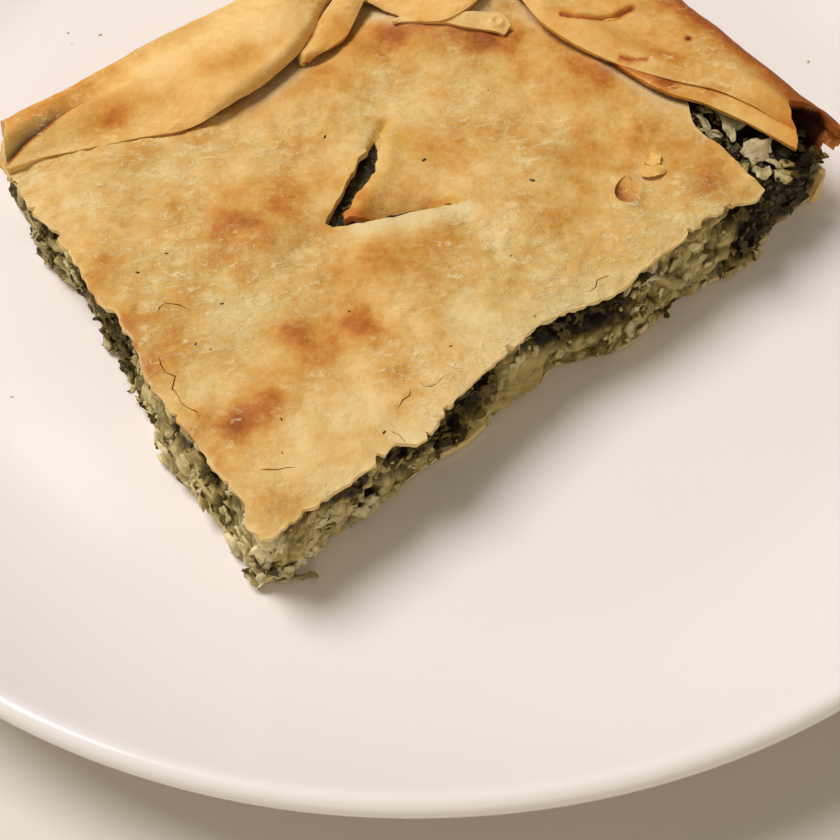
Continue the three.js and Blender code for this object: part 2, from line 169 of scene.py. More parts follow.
def surface(tree, shader, colour, roughness, height, strength, depth):
    """Gives a shader its colour, its roughness and, where a height is given, a relief of a depth in MM."""
    tree.links.new(colour, shader.inputs["Base Color"])
    tree.links.new(roughness, shader.inputs["Roughness"])
    if height is not None:
        bump = put(tree, "Bump", {"Height": height, "Strength": strength, "Distance": depth * MM})
        tree.links.new(bump.outputs[0], shader.inputs["Normal"])


def stands_for(piece, node):
    """Says what a piece rides on, and which node it shows in place of."""
    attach(piece, "root")
    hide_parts(node)


tree, shader = material_for(plate, "glazed stoneware")
where = put(tree, "TexCoord").outputs["Object"]
bare_foot = spread(tree, put(tree, "SeparateXYZ", {0: where}).outputs["Z"], 1.2 * MM, 0.4 * MM)
glaze = blend(tree, cloud(tree, where, 14), paint(*GLAZE), paint(*GLAZE_SHADE))
pinholes = put(tree, "TexVoronoi", {"Vector": where, "Scale": 160.0})
rare = spread(tree, put(tree, "SeparateColor", {0: pinholes.outputs["Color"]}).outputs[0], 0.965, 0.97)
pinhole = times(tree, spread(tree, pinholes.outputs["Distance"], 0.10, 0.04), rare)
glaze = blend(tree, times(tree, pinhole, 0.35), glaze, paint(*PINHOLE))
polish = spread(tree, cloud(tree, where, 40), 0.3, 0.7, 0.16, 0.24)
surface(tree, shader, blend(tree, bare_foot, glaze, paint(*BARE_CLAY)),
        calc(tree, "MAXIMUM", polish, times(tree, bare_foot, 0.8)), cloud(tree, where, 90, 2), 0.12, 0.4)
stands_for(plate, "plate")

# The base of the lower crust
# The lower sheet of dough lies flat under the filling. It was pressed into the tin, and its edge at the two
# cuts is ragged from the knife. It is pale, because it baked under the wet filling.
SLICE_AT = (-25.3, -88.5)
SLICE_TURN = math.radians(37.6)
SLICE_BASE = 8.35
SLICE_LENGTH = 137.5
SLICE_WIDTH = 104
SLICE_CORNER = 40
CORNER_X = SLICE_LENGTH - SLICE_CORNER
CORNER_Y = SLICE_WIDTH - SLICE_CORNER
BASE_THICKNESS = 1.8
BASE_INSET = 1.2
WALL_LEAN = 1.8
WALL_GAP = 0.4


def on_plate(x, y, z):
    """Places in the slice, in millimetres from its near corner, as places in the scene."""
    turn_x, turn_y = math.cos(SLICE_TURN), math.sin(SLICE_TURN)
    return MM * np.stack([SLICE_AT[0] + x * turn_x - y * turn_y, SLICE_AT[1] + x * turn_y + y * turn_x,
                          SLICE_BASE + z + 0 * x], -1)


def in_slice(points):
    """Places in the scene as x, y and z in the slice, in millimetres."""
    turn_x, turn_y = math.cos(SLICE_TURN), math.sin(SLICE_TURN)
    x, y = points[:, 0] / MM - SLICE_AT[0], points[:, 1] / MM - SLICE_AT[1]
    return x * turn_x + y * turn_y, y * turn_x - x * turn_y, points[:, 2] / MM - SLICE_BASE


def cell_value(i, j, k):
    """A number from -1 to 1 that belongs to a cell in space and looks random."""
    wave = np.sin(i * 127.1 + j * 311.7 + k * 74.7) * 43758.5453
    return 2 * (wave - np.floor(wave)) - 1


def noise(x, y, z):
    """Smooth noise in space, from -1 to 1, with one cell to the unit."""
    x, y, z = np.broadcast_arrays(np.asarray(x, float), y, z)
    i, j, k = np.floor(x), np.floor(y), np.floor(z)
    a, b, c = [t * t * (3 - 2 * t) for t in (x - i, y - j, z - k)]
    def row(dj, dk):
        return cell_value(i, j + dj, k + dk) * (1 - a) + cell_value(i + 1, j + dj, k + dk) * a
    return (row(0, 0) * (1 - b) + row(1, 0) * b) * (1 - c) + (row(0, 1) * (1 - b) + row(1, 1) * b) * c


def crumple(x, y, z, size, octaves=3):
    """Noise of several sizes, the largest of them size millimetres across."""
    return sum(noise(x * 2 ** n / size + 7 * n, y * 2 ** n / size, z * 2 ** n / size + 3 * n) / 2 ** n
               for n in range(octaves))


def through(points):
    """A smooth curve through points, as a function of their first number."""
    xs, ys = np.array(points, float).T
    slopes = np.gradient(ys, xs)
    def at(x):
        x = np.clip(x, xs[0], xs[-1])
        i = np.clip(np.searchsorted(xs, x) - 1, 0, len(xs) - 2)
        step = xs[i + 1] - xs[i]
        t = (x - xs[i]) / step
        return (ys[i] * (1 + 2 * t) * (1 - t) ** 2 + ys[i + 1] * t * t * (3 - 2 * t)
                + step * slopes[i] * t * (1 - t) ** 2 - step * slopes[i + 1] * t * t * (1 - t))
    return at


def ease(value, low, high):
    """Rises smoothly from 0 at low to 1 at high."""
    t = np.clip((value - low) / (high - low), 0, 1)
    return t * t * (3 - 2 * t)


def bell(away, width, power=2):
    """1 where something is, and less the farther away, over a width."""
    return np.exp(-(away / width) ** power)


def fade(away, length):
    """1 up to an edge, and dying away past it over a length."""
    return np.exp(-np.maximum(away, 0) / length)


# Where the knife went through the crust: the Y of the long cut along X, and the X of the short cut along Y.
long_cut = through([
    (-4, -2.4), (-1, -2.7), (0.1, -3.3), (1.6, -3.5), (3.3, -2.9), (5.3, -2.8), (7.3, -2.3), (8.7, -2.7),
    (12.8, -2.6), (18.9, -2.5), (24.4, -1.9), (27.2, -1.6), (28.8, -2.9), (35.9, -2), (43.7, -0.3), (49, 0.9),
    (56.5, 1.9), (61.3, 2.2), (69, 1.8), (76.2, 0.6), (86.1, 1), (93.9, 1.5), (101.9, 2), (107.7, 1.5),
    (110.3, 0.4), (114.9, 0.6), (138, 0.6)])
short_cut = through([
    (-4, -1.2), (-1.7, -1.4), (0, -0.9), (1.2, -1.8), (2.6, -1.5), (4, -0.4), (5.2, 0.2), (9, 0.4),
    (14.9, 0.6), (20.4, 0.6), (24.8, 0.5), (27.1, 0.3), (30.5, 0.7), (35.2, 0.9), (37.8, 2), (40, 2.6),
    (42, 3), (45.1, 3.6), (47.3, 3.3), (49.6, 4), (51.1, 4.2), (52.8, 3.4), (55.2, 3.6), (58.1, 3.5),
    (60.4, 3.7), (63, 4.2), (65.9, 4.2), (67.8, 4.6), (70.2, 4.3), (72.7, 4.7), (77.1, 4.8), (81.9, 4.8),
    (86.1, 5.3), (91.3, 5.6), (94.1, 6.2), (98, 6.2), (106, 6.2)])
# Where the filling stands along the same cuts: past the crust in places, and back from it in others.
long_foot = through([
    (-4, -2), (-1.9, -1.9), (4.1, -3.4), (12.1, -2.2), (24, -1.9), (32.6, -0.8), (41.1, -0.4), (47.2, 0.3),
    (57.1, 1), (63.2, 1.2), (67, 2), (70, 1), (74.7, -1.2), (79.5, -2.6), (86.3, -2.2), (95.7, -0.6),
    (101, -0.6), (110, -2), (114.6, -1.6), (121.9, 1.2), (129.6, 2), (138, 2.2)])
short_foot = through([
    (-4, -1.8), (-1.7, -1.9), (2.9, -2.2), (9.9, -1.8), (21.2, -1.7), (29.7, -2.3), (34.7, -0.5), (42, 0.9),
    (48.1, 2.1), (54.4, 3.2), (62.2, 4.5), (69.1, 5.3), (74, 5.2), (77.9, 3.9), (80.1, 4.2), (82.9, 3.9),
    (85.8, 5), (87.7, 5.8), (91.1, 6.3), (97.3, 6.9), (101.5, 7.2), (106, 7.3)])


def points_of(piece):
    flat = np.empty(len(piece.data.vertices) * 3)
    piece.data.vertices.foreach_get("co", flat)
    return flat.reshape(-1, 3)


def normals_of(piece):
    flat = np.empty(len(piece.data.vertices) * 3, np.float32)
    piece.data.vertex_normals.foreach_get("vector", flat)
    return flat.reshape(-1, 3).astype(float)


def move_to(piece, points):
    piece.data.vertices.foreach_set("co", points.astype(np.float32).ravel())
    piece.data.update()


def note(piece, **kept):
    """Keeps values for each point of a piece, which its material reads."""
    for name, values in kept.items():
        values = np.array(np.broadcast_to(values, len(piece.data.vertices)), np.float32)
        piece.data.attributes.new(name, "FLOAT", "POINT").data.foreach_set("value", values)


def noted(tree, name):
    return put(tree, "Attribute", attribute_name=name).outputs["Fac"]


def thicken(sheet, thickness):
    """Gives a sheet its thickness below its upper face."""
    shape_by(sheet, "thickness", "SOLIDIFY", thickness=thickness * MM, offset=-1)


def smooth_up_to(degrees):
    """Shades the active piece smooth, apart from edges sharper than this."""
    bpy.ops.object.shade_smooth_by_angle(angle=math.radians(degrees))


def dough_sheet(name, columns, rows, place):
    """A grid with each point sent to where place says, from its two shares of 0 to 1."""
    sheet = new_piece(name, bpy.ops.mesh.primitive_grid_add, size=1,
                      x_subdivisions=columns, y_subdivisions=rows)
    shares = points_of(sheet) + 0.5
    move_to(sheet, on_plate(*place(shares[:, 0], shares[:, 1])))
    return sheet


def base_place(a, b):
    y_flat = (SLICE_WIDTH - WALL_LEAN - WALL_GAP) * b
    over_corner = np.clip((y_flat - CORNER_Y) / (SLICE_CORNER - WALL_LEAN), 0, 1)
    right = CORNER_X + (SLICE_CORNER - WALL_LEAN - WALL_GAP) * np.sqrt(1 - over_corner ** 2)
    left = short_foot(y_flat) + BASE_INSET
    x = left + (right - left) * a
    shows = bell(x - 43.5, 6.5, 4)
    y = y_flat + (long_foot(x) + BASE_INSET - 0.9 * shows) * (1 - b) ** 8
    ragged = 0.5 * crumple(x, y, 0, 5)
    x = x + ragged * (1 - a) ** 12
    return x, y + ragged * (1 - b) ** 12, BASE_THICKNESS + 0.12 * crumple(x, y, 4, 9)


base = dough_sheet("base_crust", 150, 110, base_place)
thicken(base, BASE_THICKNESS - 0.1)
smooth_up_to(40)
x, y, z = in_slice(points_of(base))
note(base, bake=0.2 + 0.2 * noise(x / 9, y / 9, 1) - 0.2 * ease(z, 0.6, 1.6), raw=0.9,
     cut=fade(np.minimum(x - short_foot(y), y - long_foot(x)), 1.5), stain=0, warm=0)

# The crust's colour goes from raw cream through gold to brown, and it is blotched, grainy and a little flaky.
BAKED_COLOURS = [
    (0.0, (238, 213, 162)), (0.3, (229, 194, 130)), (0.5, (217, 171, 97)), (0.68, (205, 145, 66)),
    (0.84, (188, 112, 46)), (1.0, (158, 86, 34))]
RAW_DOUGH = (222, 204, 160)
CUT_CRUMB = (236, 203, 138)
GREEN_STAIN = (206, 160, 38)
PALE_FLAKE = (241, 214, 158)
# A near black that bake above 1.15 turns to: dark bake, and painted shade in hollows, creases and a small
# hole.
CHAR_AND_SHADE = (56, 26, 9)
WARMER = (1.12, 0.99, 0.8, 1)
KHAKI = (0.94, 1.0, 1.04, 1)


def swing(tree, value, strength):
    """Noise of 0 to 1 as a change up or down."""
    return times(tree, calc(tree, "SUBTRACT", value, 0.5), strength)


def run_of_colours(tree, share, colours):
    """A colour that goes through several, each given with its place from 0 to 1."""
    ramp = put(tree, "ValToRGB", {"Fac": share})
    stops = ramp.color_ramp.elements
    stops[0].color, stops[1].color = paint(*colours[0][1]), paint(*colours[-1][1])
    for position, colour in colours[1:-1]:
        stops.new(position).color = paint(*colour)
    return ramp.outputs[0]


crust = bpy.data.node_groups.new("baked dough", "ShaderNodeTree")
KEPT_VALUES = ("Bake", "Raw", "Cut", "Stain", "Warm")
for name in KEPT_VALUES + ("Uneven",):
    crust.interface.new_socket(name, in_out="INPUT", socket_type="NodeSocketFloat")
crust.interface.new_socket("Colour", in_out="OUTPUT", socket_type="NodeSocketColor")
for name in ("Roughness", "Height"):
    crust.interface.new_socket(name, in_out="OUTPUT", socket_type="NodeSocketFloat")
given = crust.nodes.new("NodeGroupInput").outputs
where = put(crust, "TexCoord").outputs["Object"]
stretched = put(crust, "Mapping", {"Vector": where, "Rotation": (0, 0, -SLICE_TURN),
                                   "Scale": (1.0, 1.7, 1.0)}).outputs[0]
patches = cloud(crust, where, 60, 3, 0.5, 0.3)
mottle = cloud(crust, where, 240, 4, 0.55, 0.15)
grain = cloud(crust, where, 900, 3, 0.6)
flaky_parts = spread(crust, cloud(crust, where, 38, 2), 0.43, 0.56)
fleck = times(crust, spread(crust, cloud(crust, stretched, 460, 3, 0.6, 0.9), 0.58, 0.66), flaky_parts)
flake = times(crust, spread(crust, cloud(crust, stretched, 260, 5, 0.66, 0.5), 0.48, 0.68), flaky_parts)
blotch = plus(crust, swing(crust, patches, 0.9), swing(crust, mottle, 0.5))
blotch = plus(crust, blotch, swing(crust, grain, 0.3))
baked = calc(crust, "MULTIPLY_ADD", blotch, given["Uneven"], given["Bake"], clamp=True)
flaking = times(crust, flake, times(crust, given["Uneven"], spread(crust, baked, 0.5, 0.8, 0.6, 0.15)))
flecked = times(crust, times(crust, fleck, given["Uneven"]), 0.6)
khaki_parts = times(crust, spread(crust, cloud(crust, where, 31, 2), 0.46, 0.6), given["Uneven"])
crumb = times(crust, given["Cut"], spread(crust, grain, 0.25, 0.6, 0.5, 1.0))
colour = run_of_colours(crust, baked, BAKED_COLOURS)
# Bake above 1.15 darkens towards a near black: dark bake, and painted shade in the folds' hollows and
# creases.
for share, tone, how in [(flaking, paint(*PALE_FLAKE), "MIX"), (flecked, paint(*PALE_FLAKE), "MIX"),
                         (khaki_parts, KHAKI, "MULTIPLY"), (given["Warm"], WARMER, "MULTIPLY"),
                         (spread(crust, given["Bake"], 1.15, 1.7), paint(*CHAR_AND_SHADE), "MIX"),
                         (given["Raw"], paint(*RAW_DOUGH), "MIX"),
                         (given["Stain"], paint(*GREEN_STAIN), "MIX"),
                         (crumb, paint(*CUT_CRUMB), "MIX")]:
    colour = blend(crust, share, colour, tone, how)
height = times(crust, mottle, 0.5)
for layer, high in ((grain, 0.3), (flake, 0.25), (fleck, 0.16)):
    height = plus(crust, height, times(crust, layer, high))
result = crust.nodes.new("NodeGroupOutput").inputs
crust.links.new(colour, result["Colour"])
crust.links.new(spread(crust, baked, 0.2, 0.9, 0.68, 0.55), result["Roughness"])
crust.links.new(height, result["Height"])


def bake(piece, name, slot, uneven, relief):
    """Puts the crust on a piece of dough, from the values kept with its points."""
    tree, shader = material_for(piece, name)
    skin = put(tree, "Group", node_tree=crust)
    for socket in KEPT_VALUES:
        tree.links.new(noted(tree, socket.lower()), skin.inputs[socket])
    skin.inputs["Uneven"].default_value = uneven
    surface(tree, shader, *[skin.outputs[name] for name in ("Colour", "Roughness", "Height")], relief, 0.8)
    shader.inputs["Specular IOR Level"].default_value = 0.12
    stands_for(piece, slot)


bake(base, "base crust", "lower_crust", 0.6, 0.4)

# The filling's body
# Chopped chard, cooked down with onion and soft cheese, and packed between the two crusts. The body is the
# lumpy mass between the leaves and stalks that stand out of it, with dark gaps between its lumps. The
# dark of the gaps is painted shade, with dark leaf in it.
FILLING_TOP = 16.8
FILLING_VOXEL = 0.62
FILLING_BOX = (137, 104, 15)
FILLING_INSET = 3.6
LUMP_SIZE = 2.4
CREVICE = 0.4
LARGE_LUMP = 4.8
LARGE_CREVICE = 0.8
HOLE_SIZE = 2.3
HOLE_DEPTH = 2.0
# Where the long cut face stands back, or out if the depth is below 0: X, half width, lowest Z, and depth.
HOLLOWS = [
    (42, 5.5, 4, 2.2), (73, 5.5, 8, 1.3), (29, 4, 10, 0.9), (58.5, 5, 2, -1.3), (88, 9, 3, -0.4),
    (104, 8, 4, -0.5)]
# Where the cut faces are darker: place along it, half width, and lowest Z. On the short cut this is dark
# leaf; on the long cut it is dark leaf and painted shade, under the crust and in the hollows of the face.
DARK_LEAF_AND_SHADE_ON_LONG = [
    (42, 7, 3), (72, 8, 7), (30, 6, 9), (119, 5, 2), (64, 3, 9), (17, 5, 9), (112, 4, 3), (127, 5, 2)]
DARK_ON_SHORT = [(49, 3.5, 2), (36.5, 1.6, 8), (15, 4, 8), (57, 2, 8), (80, 3, 10)]
# Where the long cut is pale: X, half width, and how pale.
PALE_ON_LONG = [(58, 5, 1.4), (10, 12, 0.8), (88, 10, 0.4), (104, 10, 0.3)]
MASS_COLOURS = [
    (0.0, (32, 22, 3)), (0.2, (72, 56, 16)), (0.4, (142, 122, 60)), (0.62, (196, 175, 110)),
    (1.0, (236, 216, 162))]
# The colour of the gaps and holes between lumps: painted shade, with dark leaf in it.
DARK_GAP_SHADE = (30, 20, 1)


def depth_inside(x, y):
    """How far inside the outer edge of the pie a place lies."""
    corner = SLICE_CORNER - np.hypot(x - CORNER_X, y - CORNER_Y)
    return np.where((x > CORNER_X) & (y > CORNER_Y), corner, np.minimum(SLICE_LENGTH - x, SLICE_WIDTH - y))


def filling_top(x, y):
    """The filling's upper face is lumpy, with a low ridge before it sinks towards the folded edges."""
    depth = depth_inside(x, y)
    bare = ease(x, 109, 115) * (1 - ease(y, 22, 30)) * (1 - ease(x, 129, 133))
    dip = 2.4 * (1 - ease(depth, 13, 27)) * (1 - 0.8 * bare)
    ridge = 0.8 * bell(depth - 33, 6) * ease(x + y, 95, 150)
    return FILLING_TOP + ridge + 0.7 * noise(x / 24, y / 22, 3.1) - dip


def long_face(x, z):
    """The Y of the filling's long cut face: from its foot up to just behind the edge of the crust."""
    foot = long_foot(x) + 0.4
    face = foot + (long_cut(x) + 1 - foot) * ease(z, 3, 15)
    for middle, half, low, depth in HOLLOWS:
        face = face + depth * bell(x - middle, half, 4) * ease(z, low, low + 3)
    return face


def short_face(y, z):
    foot = short_foot(y) + 0.4
    return foot + (short_cut(y) + 0.8 - foot) * ease(z, 3, 15)


def lumps(x, y, z, size):
    """Lumps packed in space: how far a place is from its lump's edge, and the lump's own number, 0 to 1."""
    place = np.stack([x, y, z], -1) / size
    home = np.floor(place)
    first, second, number = np.full(len(x), 9.0), np.full(len(x), 9.0), np.zeros(len(x))
    for step in np.ndindex(3, 3, 3):
        i, j, k = (home + step - 1).T
        middle = np.stack([i + 0.45 * cell_value(i, j, k), j + 0.45 * cell_value(j, k, i + 9),
                           k + 0.45 * cell_value(k, i, j + 4)], -1) + 0.5
        gap = np.linalg.norm(place - middle, axis=1)
        nearer = gap < first
        second = np.where(nearer, first, np.minimum(second, gap))
        number = np.where(nearer, 0.5 + 0.5 * cell_value(i + 3, j + 8, k + 1), number)
        first = np.minimum(first, gap)
    return second - first, number


def soft_lump(x, y, z):
    """1 on the large smooth lump in the long cut face, and 0 away from it."""
    return bell(x - 58.5, 4.6, 4) * bell(z - 6, 5.5, 4) * (y < 8)


def leaf_and_shade(x, y, z):
    """Above 0 where there is dark leaf, and on the long cut painted shade; below 0 where there is pale stalk
    and cheese.
    """
    on_long = y - long_cut(x) < x - short_cut(y)
    patches = 0.9 * noise(np.where(on_long, x, y + 400) / 8, z / 6, 2.5)
    for middle, half, low in DARK_LEAF_AND_SHADE_ON_LONG:
        patches = patches + on_long * 1.2 * bell(x - middle, half) * ease(z, low - 1, low + 4)
    for middle, half, much in PALE_ON_LONG:
        patches = patches - on_long * much * bell(x - middle, half) * (1 - 0.6 * ease(z, 11, 15))
    for middle, half, low in DARK_ON_SHORT:
        patches = patches + ~on_long * 1.1 * bell(y - middle, half) * ease(z, low - 1, low + 4)
    return patches + on_long * 0.1 - ~on_long * (0.1 + 0.55 * bell(y - 28, 11))


filling = new_piece("filling_body", bpy.ops.mesh.primitive_cube_add, size=1,
                    scale=[side * MM for side in FILLING_BOX])
bpy.ops.object.transform_apply(location=True, rotation=True, scale=True)
shape_by(filling, "even faces", "REMESH", mode="VOXEL", voxel_size=FILLING_VOXEL * MM)
a, b, c = (points_of(filling) / MM / FILLING_BOX + 0.5).clip(0, 1).T
y_flat = (SLICE_WIDTH - FILLING_INSET) * b
over_corner = np.clip((y_flat - CORNER_Y) / (SLICE_CORNER - FILLING_INSET), 0, 1)
right = CORNER_X + (SLICE_CORNER - FILLING_INSET) * np.sqrt(1 - over_corner ** 2)
z_flat = BASE_THICKNESS + FILLING_BOX[2] * c
left = short_face(y_flat, z_flat)
x = left + (right - left) * a
near = long_face(x, z_flat)
y = near + (SLICE_WIDTH - FILLING_INSET - near) * b
under_it = BASE_THICKNESS - 0.2 - 1.2 * fade(np.minimum(x - left, y - near), 0.7)
z = under_it + (filling_top(x, y) - under_it) * c
move_to(filling, on_plate(x, y, z))
points = points_of(filling)
uneven = 1.7 * np.stack([noise(x / 2.6, y / 2.6, z / 2.6 + n) for n in (0, 30, 60)], -1)
packed = np.stack([x * 0.75, y * 0.75, z * 1.15], -1) + uneven
border, own = lumps(*packed.T, LUMP_SIZE)
large_border, large_own = lumps(*packed.T, LARGE_LUMP)
crags = (LARGE_CREVICE * (ease(large_border, 0, 0.3) - 0.75) + CREVICE * (ease(border, 0, 0.4) - 0.7)
         + 0.35 * crumple(x, y, z, 3, 2))
# Under the crust the filling is smoother, and below its tone is darkened there as painted shade.
under_crust_in_shade = ease(np.minimum(x - short_cut(y), y - long_cut(x)), 4, 8) * (x < 112)
smooth = soft_lump(x, y, z)
leaf_shade = leaf_and_shade(x, y, z)
# Dark holes gather where the face is dark and near its top under the crust; their colour there is painted
# shade.
holes_from = 0.2 - 0.3 * leaf_shade - 0.25 * ease(z, 11, 15.5) + 0.8 * smooth
holes = ease(noise(*packed.T / HOLE_SIZE), holes_from, holes_from + 0.22)
crags = crags * (1 - 0.7 * under_crust_in_shade) * (1 - 0.7 * smooth) - HOLE_DEPTH * holes * (1 - under_crust_in_shade)
move_to(filling, points + MM * crags[:, None] * normals_of(filling))
bpy.ops.object.shade_smooth()
# Painted shade: the lines between lumps and the holes go dark, and the tone darkens under the crust and in
# the slit.
gaps = np.maximum(0.6 * (1 - ease(large_border, 0.02, 0.14)), 0.4 * (1 - ease(border, 0.02, 0.14)))
shades = 0.26 + 0.3 * own + 0.3 * large_own - 0.3 * leaf_shade - 0.3 * np.maximum(leaf_shade, 0)
note(filling, hollow=np.maximum(gaps * (1 - 0.85 * smooth), 0.95 * holes),
     tone=(shades + (0.5 - shades) * smooth).clip(0, 1) * (1 - 0.8 * under_crust_in_shade))


def let_light_in(shader, weight):
    """Lets light spread a millimetre or so under a moist surface."""
    shader.inputs["Subsurface Weight"].default_value = weight
    shader.inputs["Subsurface Radius"].default_value = (1.0, 0.85, 0.4)
    shader.inputs["Subsurface Scale"].default_value = 1.2 * MM
    shader.inputs["Specular IOR Level"].default_value = 0.25


tree, shader = material_for(filling, "packed chard")
where = put(tree, "TexCoord").outputs["Object"]
stretched = put(tree, "Mapping", {"Vector": where, "Scale": (1.0, 1.0, 2.2)}).outputs[0]
stringy = cloud(tree, stretched, 520, 5, 0.7, 1.2)
shade = plus(tree, noted(tree, "tone"), swing(tree, stringy, 0.6), clamp=True)
colour = blend(tree, noted(tree, "hollow"), run_of_colours(tree, shade, MASS_COLOURS), paint(*DARK_GAP_SHADE))
surface(tree, shader, colour, spread(tree, stringy, 0.3, 0.7, 0.28, 0.5), stringy, 0.6, 0.6)
let_light_in(shader, 0.4)
stands_for(filling, "chard_filling")

# The chopped pieces of the filling
# Shreds of dark leaf, pale chips of stalk and onion, and small grains of cheese. They stand out of the two
# cut faces, lie bare by the side fold where the upper crust ends short, and show in the slit.
draws = np.random.default_rng(11)
# How thick a shred and a flake are, in thousandths of their length.
SHRED_THICKNESS = 70
FLAKE_THICKNESS = 130
BARE_FROM = 112
# Leaves and chips that hang out at the near corner: X, Y and Z.
CORNER_LEAVES = [(-2.4, 1.1, 2.2), (0.4, -2.6, 4.4), (-1, -2.2, 6)]
CORNER_CHIPS = [(-2, 0.6, 2), (-1.6, -1.4, 3.4), (1.8, -2.4, 2.4)]


def shape_of(piece):
    """The points and faces of a small shape, which is then removed."""
    shape = points_of(piece), [list(face.vertices) for face in piece.data.polygons]
    bpy.data.objects.remove(piece)
    return shape


def edit_all(work, **options):
    """Does one piece of work in edit mode on all of the active mesh."""
    bpy.ops.object.mode_set(mode="EDIT")
    bpy.ops.mesh.select_all(action="SELECT")
    work(**options)
    bpy.ops.object.mode_set(mode="OBJECT")


def shred_shape(curl, ripple, taper):
    """A thin strip of leaf, bent along its length and narrower at its ends."""
    shred = new_piece("shred", bpy.ops.mesh.primitive_grid_add, x_subdivisions=7, y_subdivisions=3, size=1)
    along, across, _ = points_of(shred).T
    width = 0.55 * (1 - taper * (2 * along) ** 2) * (1 + 0.3 * np.sin(9 * along + 6 * taper))
    height = curl * along ** 2 + ripple * np.sin(7 * along + 5 * across) + 0.5 * curl * across ** 2
    move_to(shred, np.stack([along, across * width, height], -1))
    thicken(shred, SHRED_THICKNESS)
    return shape_of(shred)


def knocks(points, fineness, seed):
    """A shift of each point in all three ways, as if it had been knocked about."""
    x, y, z = (points * fineness).T
    return np.stack([noise(x + seed + n, y, z) for n in (0, 20, 40)], -1)


def chunk_shape(flatness, seed):
    """A rounded chunk of stalk or onion, cut square on some sides."""
    chunk = new_piece("chunk", bpy.ops.mesh.primitive_uv_sphere_add, segments=8, ring_count=6, radius=0.5)
    points = points_of(chunk)
    boxy = 0.5 * np.sign(points) * np.abs(2 * points) ** 0.75
    move_to(chunk, (boxy + 0.34 * knocks(points, 2.4, seed)) * [1, 0.7, flatness])
    return shape_of(chunk)


def torn_disc(sides):
    """A flat disc with an inner ring of points, and for each point which side it is on and how far out."""
    disc = new_piece("disc", bpy.ops.mesh.primitive_circle_add, vertices=sides, radius=0.5, fill_type="NGON")
    edit_all(bpy.ops.mesh.inset, thickness=0.2)
    x, y, _ = points_of(disc).T
    side = np.floor(np.arctan2(y, x) / (2 * math.pi) * sides + 0.3).astype(int) % sides
    return disc, side, np.hypot(x, y) / 0.5


def flake_shape(seed, dome):
    """A flat flake of leaf or stalk with a torn outline."""
    flake, side, out = torn_disc(9)
    reach = 1 + 0.5 * cell_value(side, seed, 2)
    x, y, _ = points_of(flake).T
    height = dome * (1 - out) + 0.12 * cell_value(side, seed, 5) * out
    move_to(flake, np.stack([1.15 * x * reach, 0.8 * y * reach, height], -1))
    thicken(flake, FLAKE_THICKNESS)
    return shape_of(flake)


def grain_shape(seed):
    """A small uneven grain of cheese."""
    ball = new_piece("grain", bpy.ops.mesh.primitive_ico_sphere_add, subdivisions=1, radius=0.5)
    points = points_of(ball)
    x, y, z = (points * 3).T
    move_to(ball, points * (1 + 0.4 * noise(x + seed, y, z))[:, None])
    return shape_of(ball)


def facing(outward, wobble):
    """Turns that lay small shapes along a face, each leaning its own way, as matrices."""
    normal = outward + wobble * draws.normal(size=outward.shape)
    normal /= np.linalg.norm(normal, axis=1, keepdims=True)
    side = np.cross(normal, draws.normal(size=outward.shape))
    side /= np.linalg.norm(side, axis=1, keepdims=True)
    return np.stack([side, np.cross(normal, side), normal], -1)


def strew(name, shapes, places, sizes, turns, tones):
    """One piece of many copies of small shapes, each with its own place, size, turn and tone."""
    points, faces, shades, first = [], [], [], 0
    kinds = draws.integers(len(shapes), size=len(places))
    for place, size, turn, kind, tone in zip(places, sizes, turns, kinds, tones):
        corners, sides = shapes[kind]
        points.append((corners * size) @ turn.T + place)
        faces.extend([[first + corner for corner in side] for side in sides])
        shades.append(np.full(len(corners), tone))
        first += len(corners)
    mesh = bpy.data.meshes.new(name)
    mesh.from_pydata(on_plate(*np.concatenate(points).T), [], faces)
    piece = bpy.data.objects.new(name, mesh)
    bpy.context.scene.collection.objects.link(piece)
    note(piece, tone=np.concatenate(shades))
    mesh.polygons.foreach_set("use_smooth", np.ones(len(mesh.polygons), bool))
    return piece


def on_cuts(long_count, short_count, margin, leaf_shade, out):
    """Places on the two cut faces, and the way they face: in dark parts at leafy 1, out of them at -1."""
    found = []
    for count, is_long in ((long_count, True), (short_count, False)):
        run = draws.uniform(-1.5, 131 if is_long else 96, 4 * count)
        rise = margin + draws.uniform(0, 1, 4 * count) * (FILLING_TOP - 2 * margin)
        lean = out * draws.uniform(-0.6, 1, 4 * count)
        x = run if is_long else short_face(run, rise) - lean
        y = long_face(run, rise) - lean if is_long else run
        rise = np.minimum(rise, filling_top(x, np.maximum(y, 0)) - margin)
        unfit = draws.normal(0, 0.7, 4 * count) - leaf_shade * leaf_and_shade(x, y, rise) + 4 * soft_lump(x, y, rise)
        found.append(np.stack([x, y, rise], -1)[np.argsort(unfit)[:count]])
    outward = np.repeat([[0, -1, 0.15], [-1, 0, 0.15]], [long_count, short_count], axis=0)
    return np.concatenate(found), outward


def lying(x, y, z):
    """Places, with the way up from each."""
    return np.stack([x, y, z], -1), np.tile([0, 0, 1.0], (len(x), 1))


def bare_end(count, margin):
    """Places on the filling's upper face by the side fold, where no crust covers it."""
    y = draws.uniform(-1, 34, count)
    x = np.maximum(draws.uniform(BARE_FROM, 134, count), 115.4 + 0.1 * y)
    y = np.maximum(y, long_face(x, FILLING_TOP) + 0.3)
    return lying(x, y, filling_top(x, y) + margin * draws.uniform(-1, 0.6, count))


def in_slit(count):
    """Places on the filling's upper face under the slit."""
    share = draws.uniform(0, 1, count)
    x = 46 + 20 * share
    y = 43.4 + 9.5 * share + draws.uniform(-2.5, 1.5, count)
    return lying(x, y, filling_top(x, y) - 0.2 + draws.uniform(-0.6, 0.3, count))


def at_places(places, outward):
    return np.array(places, float), np.tile(np.array(outward, float), (len(places), 1))


